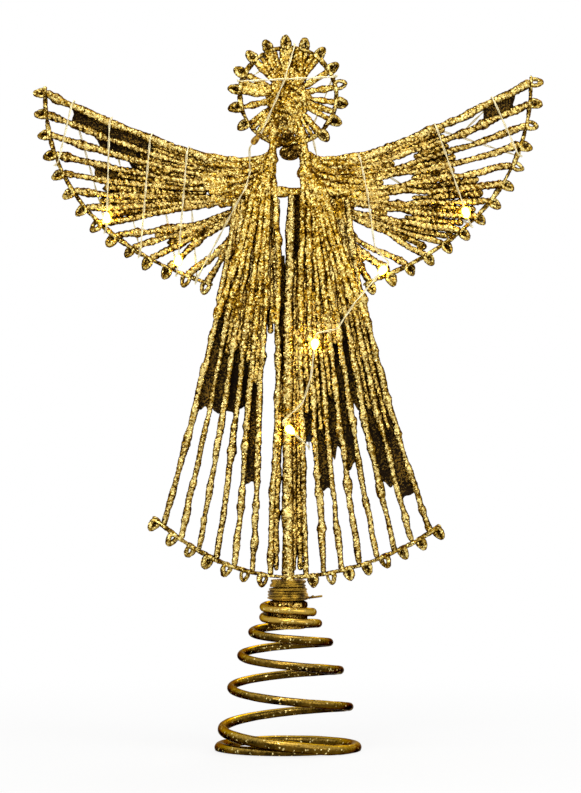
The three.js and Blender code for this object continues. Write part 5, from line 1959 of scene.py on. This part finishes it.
@dataclass
class LightString:
    """One thin wire from the battery box over skirt, wings and head, with resin drops on it."""

    skirt: Skirt
    head: Head
    wings: dict[Side, Wing]
    half: float = STACK.light_wire / 2
    wing_front: float = -(STACK.edge_half_depth + 2 * STACK.seat_gap + STACK.drop_radius)
    card_back: float = max(STACK.spar_radius, STACK.wing_rib_radius) + STACK.seat_gap + STACK.card_thickness
    wing_back: float = card_back + STACK.seat_gap + half
    skirt_depth: float = -(STACK.post_radius + STACK.seat_gap + STACK.drop_radius)
    box_wall: float = 1.6
    lead_inset: float = 3.0
    lead_share: float = 0.66
    lead_rib: float = 1.5
    bend: float = 1.3
    bend_share: float = 0.4
    twist: float = 2.5
    strand_step: float = 0.5
    strand_offset: float = 0.6
    strand_radius: float = 0.5
    strand_sides: int = 6
    drop_pole: float = 0.1
    drop_fullness: float = 0.85
    drop_skew: float = 0.22
    drop_grid: Pair = (26, 24)
    unlit_drop: int = 5
    unlit_drawn: float = 1.28
    route: list[Array] = field(default_factory=list)
    drops: list[tuple[Array, Array]] = field(default_factory=list)

    def lay(self, *points: Array) -> None:
        """Adds points to the route."""
        self.route.extend(points)

    def hang_drop(self, from_start: bool = False) -> None:
        """Hangs a drop on the stretch laid last, one drop length from one of its ends.

        Args:
            from_start: Whether that is its start and not its end.
        """
        start, end = self.route[-2:]
        direction = unit(end - start)
        offset = STACK.drop_length * direction
        self.drops.append((start + offset if from_start else end - offset, direction))

    def round_edge(self, edge: LoopedEdge, share: float, depths: Span) -> list[Array]:
        """Four points round an edge wire, from its front to its back, between two eyelets.

        Args:
            edge: The edge wire.
            share: Share of the eyelets at which it passes.
            depths: Depths in front and behind.

        Returns:
            The points.
        """
        around = STACK.edge_wire / 2 + 2 * STACK.seat_gap + self.half
        front, back = depths
        point, _, outward = edge.frame_at(np.array([edge.gap_between(share)]))
        steps = [(0.0, front), (around, -around), (around, around), (0.0, back)]
        return [point[0] + away * outward[0] + depth * AXIS_Y for away, depth in steps]

    def over_spar(self, wing: Wing, share: float) -> list[Array]:
        """Four points over a spar, from its front to its back.

        Args:
            wing: The wing.
            share: Share of the way along the spar.

        Returns:
            The points.
        """
        dense = wing.rib_line(0, shares(400))
        along = distances(dense) / distances(dense)[-1]
        place = int(np.searchsorted(along, share))
        upward = unit(np.cross(dense[place + 1] - dense[place - 1], AXIS_Y))
        upward = upward * np.sign(upward[2])
        rise = STACK.spar_radius + STACK.seat_gap + self.half
        steps = [(0.0, -(rise + STACK.seat_gap)), (rise, -rise / 2), (rise, rise / 2), (0.0, self.wing_back)]
        return [dense[place] + up * upward + depth * AXIS_Y for up, depth in steps]

    def skirt_front(self, across: float, down: float) -> Array:
        """Point in front of the skirt, by shares of its width and length."""
        height = STACK.chest_height - down * STACK.skirt_length
        return np.array([across * self.skirt.half_width, self.skirt_depth, height])

    def head_at(self, across: float, up: float, depth: float) -> Array:
        """Point by the head, by shares of its radius."""
        radius = STACK.head_radius
        return np.array([across * radius, depth, STACK.head_height + up * radius])

    def wing_at(self, side: Side, out: float, up: float, depth: float) -> Array:
        """Point by a wing, by shares of its reach and its tip's height."""
        wing = self.wings[side]
        return wing.point(out * wing.tip_reach, up * wing.tip_rise, depth)

    def lay_skirt(self) -> None:
        """Out of the box, forward between the ribs and up the front of the skirt."""
        x, y, z = self.skirt.rib_points(Side.RIGHT, self.lead_rib, self.lead_share)
        _, box_front, box_foot = np.array(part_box("battery_case")[0]) / MM
        depth = box_front + self.box_wall + self.lead_inset
        self.lay(np.array([x, depth, box_foot + self.box_wall + STACK.seat_gap]))
        self.lay(np.array([x, depth, box_foot - 2 * self.box_wall]))
        self.lay(np.array([x, y + self.skirt_depth, z]), self.skirt_front(-0.044, 0.599))
        self.hang_drop()
        self.lay(self.skirt_front(0.105, 0.547), self.skirt_front(0.16, 0.48), self.skirt_front(0.195, 0.367))
        self.hang_drop()
        self.lay(self.skirt_front(0.34, 0.357), self.skirt_front(0.466, 0.287))
        self.lay(self.wing_at(Side.RIGHT, 0.414, -0.59, self.wing_front))
        self.hang_drop()

    def lay_right_wing(self) -> None:
        """Up and down the right wing, over its spar and round its edge, then back behind it."""
        wing = self.wings[Side.RIGHT]
        edge = wing.edge()
        depths = (self.wing_front, self.wing_back)
        behind = self.wing_back + STACK.light_wire + STACK.seat_gap
        self.lay(self.wing_at(Side.RIGHT, 0.355, -0.47, self.wing_front))
        self.lay(self.wing_at(Side.RIGHT, 0.324, 0, self.wing_front))
        self.lay(*self.over_spar(wing, 0.2))
        first, *over = self.over_spar(wing, 0.55)
        self.lay(*self.round_edge(edge, 0.56, depths)[::-1], first)
        self.hang_drop(from_start=True)
        self.lay(*over, *self.round_edge(edge, 0.24, depths)[::-1], *self.over_spar(wing, 0.82))
        self.lay(self.wing_at(Side.RIGHT, 0.73, 0.55, behind), self.wing_at(Side.RIGHT, 0.146, 0.06, behind))

    def lay_head(self) -> None:
        """Round the head ring and across the face."""
        ring = self.head.ring()
        depth = max(STACK.edge_half_depth, self.head.hub_half_depth) + STACK.seat_gap + self.half
        cross = depth + STACK.light_wire + STACK.seat_gap
        depths = (-depth, depth)
        self.lay(self.head_at(0.48, -0.7, cross), *self.round_edge(ring, 0.29, depths)[::-1])
        self.lay(*self.round_edge(ring, 0.77, depths), *self.round_edge(ring, 0.49, depths)[::-1])
        self.lay(self.head_at(-0.08, 0.29, -cross), self.head_at(-0.54, -0.76, -depth))
        self.lay(self.head_at(-0.8, -1.08, -depth))
        self.hang_drop()

    def lay_left_wing(self) -> None:
        """Down over the left shoulder, then up and down the left wing."""
        wing = self.wings[Side.LEFT]
        edge = wing.edge()
        depths = (self.wing_front, self.wing_back)
        spar_front = -(STACK.spar_radius + 2 * STACK.seat_gap + self.half)
        bar_front = -(STACK.bar_radius + STACK.seat_gap + self.half)
        bar_end = self.skirt.bar_end(Side.LEFT)
        self.lay(self.wing_at(Side.LEFT, 0.155, 0.18, spar_front))
        self.lay(np.array([-0.75 * bar_end, bar_front, STACK.chest_height + STACK.bar_radius]))
        self.lay(np.array([-0.92 * bar_end, bar_front, STACK.chest_height - 2 * STACK.bar_radius]))
        self.lay(*self.round_edge(edge, 0.96, depths))
        turns = ((0.33, 0.88, True), (0.5, 0.72, False), (0.69, 0.56, True), (0.87, 0.24, False))
        for spar, turn, lit in turns:
            fall, *around = self.round_edge(edge, turn, depths)
            self.lay(*self.over_spar(wing, spar)[::-1], fall)
            if lit:
                self.hang_drop()
            self.lay(*around)

    def smooth_route(self) -> Array:
        """Route with rounded corners: each corner becomes a short quadratic curve.

        Returns:
            Points of the wire.
        """
        points = np.array(self.route)
        before, corner, after = points[:-2], points[1:-1], points[2:]
        lengths = np.linalg.norm(points[1:] - points[:-1], axis=1)[:, None]
        reach = np.minimum(self.bend, self.bend_share * lengths)
        start = corner - reach[:-1] * unit(corner - before)
        end = corner + reach[1:] * unit(after - corner)
        curves = [bezier(start, corner, end, np.array([share])) for share in shares(6)]
        return np.concatenate([points[:1], np.stack(curves, axis=1).reshape(-1, 3), points[-1:]])

    def conductors(self) -> Surface:
        """Two thin wires side by side that turn slowly about each other along the route.

        Returns:
            Both wires.
        """
        line = resample(self.smooth_route(), self.strand_step)
        tangents = unit(np.gradient(line, axis=0))
        lean = clear_direction(tangents)
        across = unit(lean - (tangents @ lean)[:, None] * tangents)
        turn = (distances(line) / self.twist)[:, None]
        aside = across * np.cos(turn) + np.cross(tangents, across) * np.sin(turn)
        offset = self.strand_offset * self.half * aside
        radius = self.strand_radius * self.half
        strands = (line + offset, line - offset)
        return Surface.join([round_wire(strand, radius, self.strand_sides, lean) for strand in strands])

    def drop_surface(self, place: Array, direction: Array, drawn: float) -> Surface:
        """Resin drop: a bead of revolution on the wire, drawn out at its start and full at its end.

        Args:
            place: Middle of the bead.
            direction: Direction of the wire.
            drawn: How much longer and slimmer than the CAD bead it is drawn.

        Returns:
            The bead.
        """
        rings, sides = self.drop_grid
        angle = np.linspace(self.drop_pole, math.pi - self.drop_pole, rings)
        along = -np.cos(angle) * drawn * STACK.drop_length / 2
        radius = STACK.drop_radius / drawn * np.sin(angle) ** self.drop_fullness
        radius = radius * (1 - self.drop_skew * drawn**3 * np.cos(angle))
        return sweep(place + along[:, None] * direction, radius[:, None] * np.ones(sides))

    def build(self, palette: Palette) -> None:
        """Makes the wire and its drops; the one under the head is not lit.

        Args:
            palette: Materials.
        """
        self.lay_skirt()
        self.lay_right_wing()
        self.lay_head()
        self.lay_left_wing()
        wire = self.conductors()
        place_piece(wire, "light_string", palette.pale_wire, "light_wire", Shading.SMOOTH)
        for number, (place, direction) in enumerate(self.drops, 1):
            unlit = number == self.unlit_drop
            drop = self.drop_surface(place, direction, self.unlit_drawn if unlit else 1.0)
            material = palette.unlit if unlit else palette.lit
            name = f"light_drop_{number}"
            place_piece(drop, f"{name}_resin", material, name, Shading.SMOOTH)


@dataclass
class BatteryBox:
    """Case, cover, switch, cells and contacts: CAD shapes with softened edges and their finishes."""

    edge: float = 0.35
    edge_steps: int = 2
    merge: float = 0.001
    flat_angle: float = 2.0
    edge_angle: float = 40.0

    def soften(self, node: str, name: str, body: Body, material: Material) -> None:
        """Copy of a CAD node, merged and with its edges bevelled, in place of the node.

        Args:
            node: The CAD node.
            name: Name of the new piece.
            body: Body that it rides on.
            material: Its material.
        """
        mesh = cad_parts[node].data.copy()
        mesh.name = name
        mesh.materials.clear()
        mesh.materials.append(material)
        piece = bpy.data.objects.new(name, mesh)
        bpy.context.scene.collection.objects.link(piece)
        weld = piece.modifiers.new("weld", "WELD")
        weld.merge_threshold = self.merge * MM
        flat = piece.modifiers.new("flat", "DECIMATE")
        flat.decimate_type = "DISSOLVE"
        flat.angle_limit = math.radians(self.flat_angle)
        bevel = piece.modifiers.new("bevel", "BEVEL")
        bevel.width = self.edge * MM
        bevel.segments = self.edge_steps
        bevel.limit_method = "ANGLE"
        bevel.angle_limit = math.radians(self.edge_angle)
        bevel.harden_normals = False
        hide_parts(node)
        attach(piece, body.value)
        LOG.info("%s: softened from %s", name, node)

    def build(self, palette: Palette) -> None:
        """Dresses the box and what is in it.

        Args:
            palette: Materials.
        """
        self.soften("battery_case", "box_case", Body.ANGEL, palette.plastic)
        self.soften("battery_cover", "box_cover", Body.COVER, palette.plastic)
        self.soften("switch_knob", "box_switch", Body.KNOB, palette.steel)
        dressed = {
            "switch_body": palette.plastic,
            "contact_springs": palette.steel,
            "contact_strip": palette.steel,
            "cell_1": palette.jacket,
            "cell_2": palette.jacket,
        }
        for node, material in dressed.items():
            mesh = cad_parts[node].data
            mesh.materials.clear()
            mesh.materials.append(material)
            LOG.info("%s: dressed", node)


@dataclass
class Studio:
    """Pale floor, white surroundings, soft lamps and the camera."""

    distance: float = 1400.0
    sensor: float = 36.0
    axis_pixel: float = 288.0
    floor_pixel: float = 750.0
    floor_drop: float = 0.2
    floor_radius: float = 3000.0
    floor_corners: int = 64
    floor_colour: Colour = (0.86, 0.86, 0.85)
    floor_white: float = 0.82
    floor_fade: Span = (0.05, 0.4)
    soft_light: float = 0.45
    lamps: tuple[tuple[str, Triple, float, float], ...] = (
        ("key", (-0.3, -1.05, 0.9), 0.5, 5.2),
        ("fill", (0.9, -0.8, 0.5), 0.6, 3.2),
        ("top", (0.1, -0.25, 1.25), 0.5, 3.5),
        ("rim", (0.3, 0.9, 0.9), 0.5, 4.0),
    )

    def floor(self) -> None:
        """Pale floor that is near white to the camera and keeps the object's shadow."""
        material, nodes = new_material("pale_floor")
        place = nodes.add("TexCoord").outputs["Object"]
        away = nodes.add("VectorMath", {"operation": "LENGTH"}, i0=place).outputs["Value"]
        fade = nodes.math("MULTIPLY", nodes.band(away, *self.floor_fade), 1 - self.floor_white)
        share = nodes.math("MULTIPLY", nodes.seen(), nodes.math("ADD", fade, self.floor_white))
        matte = nodes.add("BsdfDiffuse", Color=rgba(self.floor_colour)).outputs[0]
        white = nodes.add("Emission", Color=rgba(WHITE), Strength=1.0).outputs[0]
        nodes.add("OutputMaterial", Surface=nodes.add("MixShader", i0=share, i1=matte, i2=white).outputs[0])
        count = self.floor_corners
        index = np.arange(count)
        angle = index * (2 * math.pi / count)
        rim = np.stack([np.cos(angle), np.sin(angle), np.zeros(count)], axis=1) * self.floor_radius
        points = np.concatenate([rim, np.zeros((1, 3))]) - self.floor_drop * AXIS_Z
        disc = Surface(points, tris=np.stack([np.full(count, count), index, (index + 1) % count], axis=1))
        disc.to_object("studio_floor", material, Shading.SMOOTH)

    def world(self) -> None:
        """White surroundings to the camera, and a softer light on the object."""
        world = bpy.data.worlds.new("studio")
        bpy.context.scene.world = world
        world.use_nodes = True
        nodes = Nodes(world.node_tree)
        soft = nodes.add("Background", Color=rgba(WHITE), Strength=self.soft_light).outputs[0]
        white = nodes.add("Background", Color=rgba(WHITE), Strength=1.0).outputs[0]
        mixed = nodes.add("MixShader", i0=nodes.seen(), i1=soft, i2=white)
        nodes.add("OutputWorld", Surface=mixed.outputs[0])

    @staticmethod
    def lamp(name: str, place: Triple, size: float, power: float) -> None:
        """Square soft lamp that faces the middle of the object.

        Args:
            name: Name of the lamp.
            place: Its place in metres.
            size: Its side in metres.
            power: Its power in watts.
        """
        data = bpy.data.lights.new(name, "AREA")
        data.size = size
        data.energy = power
        lamp = bpy.data.objects.new(name, data)
        bpy.context.scene.collection.objects.link(lamp)
        lamp.location = place
        x, y, z = np.array(place) - STACK.head_height / 2 * MM * AXIS_Z
        lamp.rotation_euler = (math.atan2(math.hypot(x, y), z), 0.0, math.atan2(y, x) + math.pi / 2)

    def camera(self) -> None:
        """Level camera with a long lens, framed as 581 by 793."""
        data = bpy.data.cameras.new("camera")
        data.sensor_fit = "VERTICAL"
        data.sensor_height = self.sensor
        data.lens = self.sensor * self.distance / (IMAGE_HEIGHT * MM_PER_PIXEL)
        data.clip_end = 100.0
        camera = bpy.data.objects.new("camera", data)
        x = (IMAGE_WIDTH / 2 - self.axis_pixel) * MM_PER_PIXEL
        z = (self.floor_pixel - IMAGE_HEIGHT / 2) * MM_PER_PIXEL
        camera.location = (x * MM, -self.distance * MM, z * MM)
        camera.rotation_euler = (math.pi / 2, 0.0, 0.0)
        bpy.context.scene.collection.objects.link(camera)
        bpy.context.scene.camera = camera

    def build(self) -> None:
        """Sets the stage."""
        self.floor()
        self.world()
        for lamp in self.lamps:
            self.lamp(*lamp)
        self.camera()


def main() -> None:
    """Builds the studio and every sub-assembly in order."""
    logging.basicConfig(level=logging.INFO, format="%(name)s %(message)s")
    bpy.context.scene.view_settings.view_transform = "Standard"
    Studio().build()
    palette = Palette()
    collar = Collar()
    skirt = Skirt(collar)
    wings = {side: Wing(side) for side in Side}
    head = Head()
    chest = Chest(skirt, wings)
    lights = LightString(skirt, head, wings)
    for part in (SpringFoot(), collar, skirt, chest, head, *wings.values(), lights, BatteryBox()):
        part.build(palette)


if __name__ == "__main__":
    main()
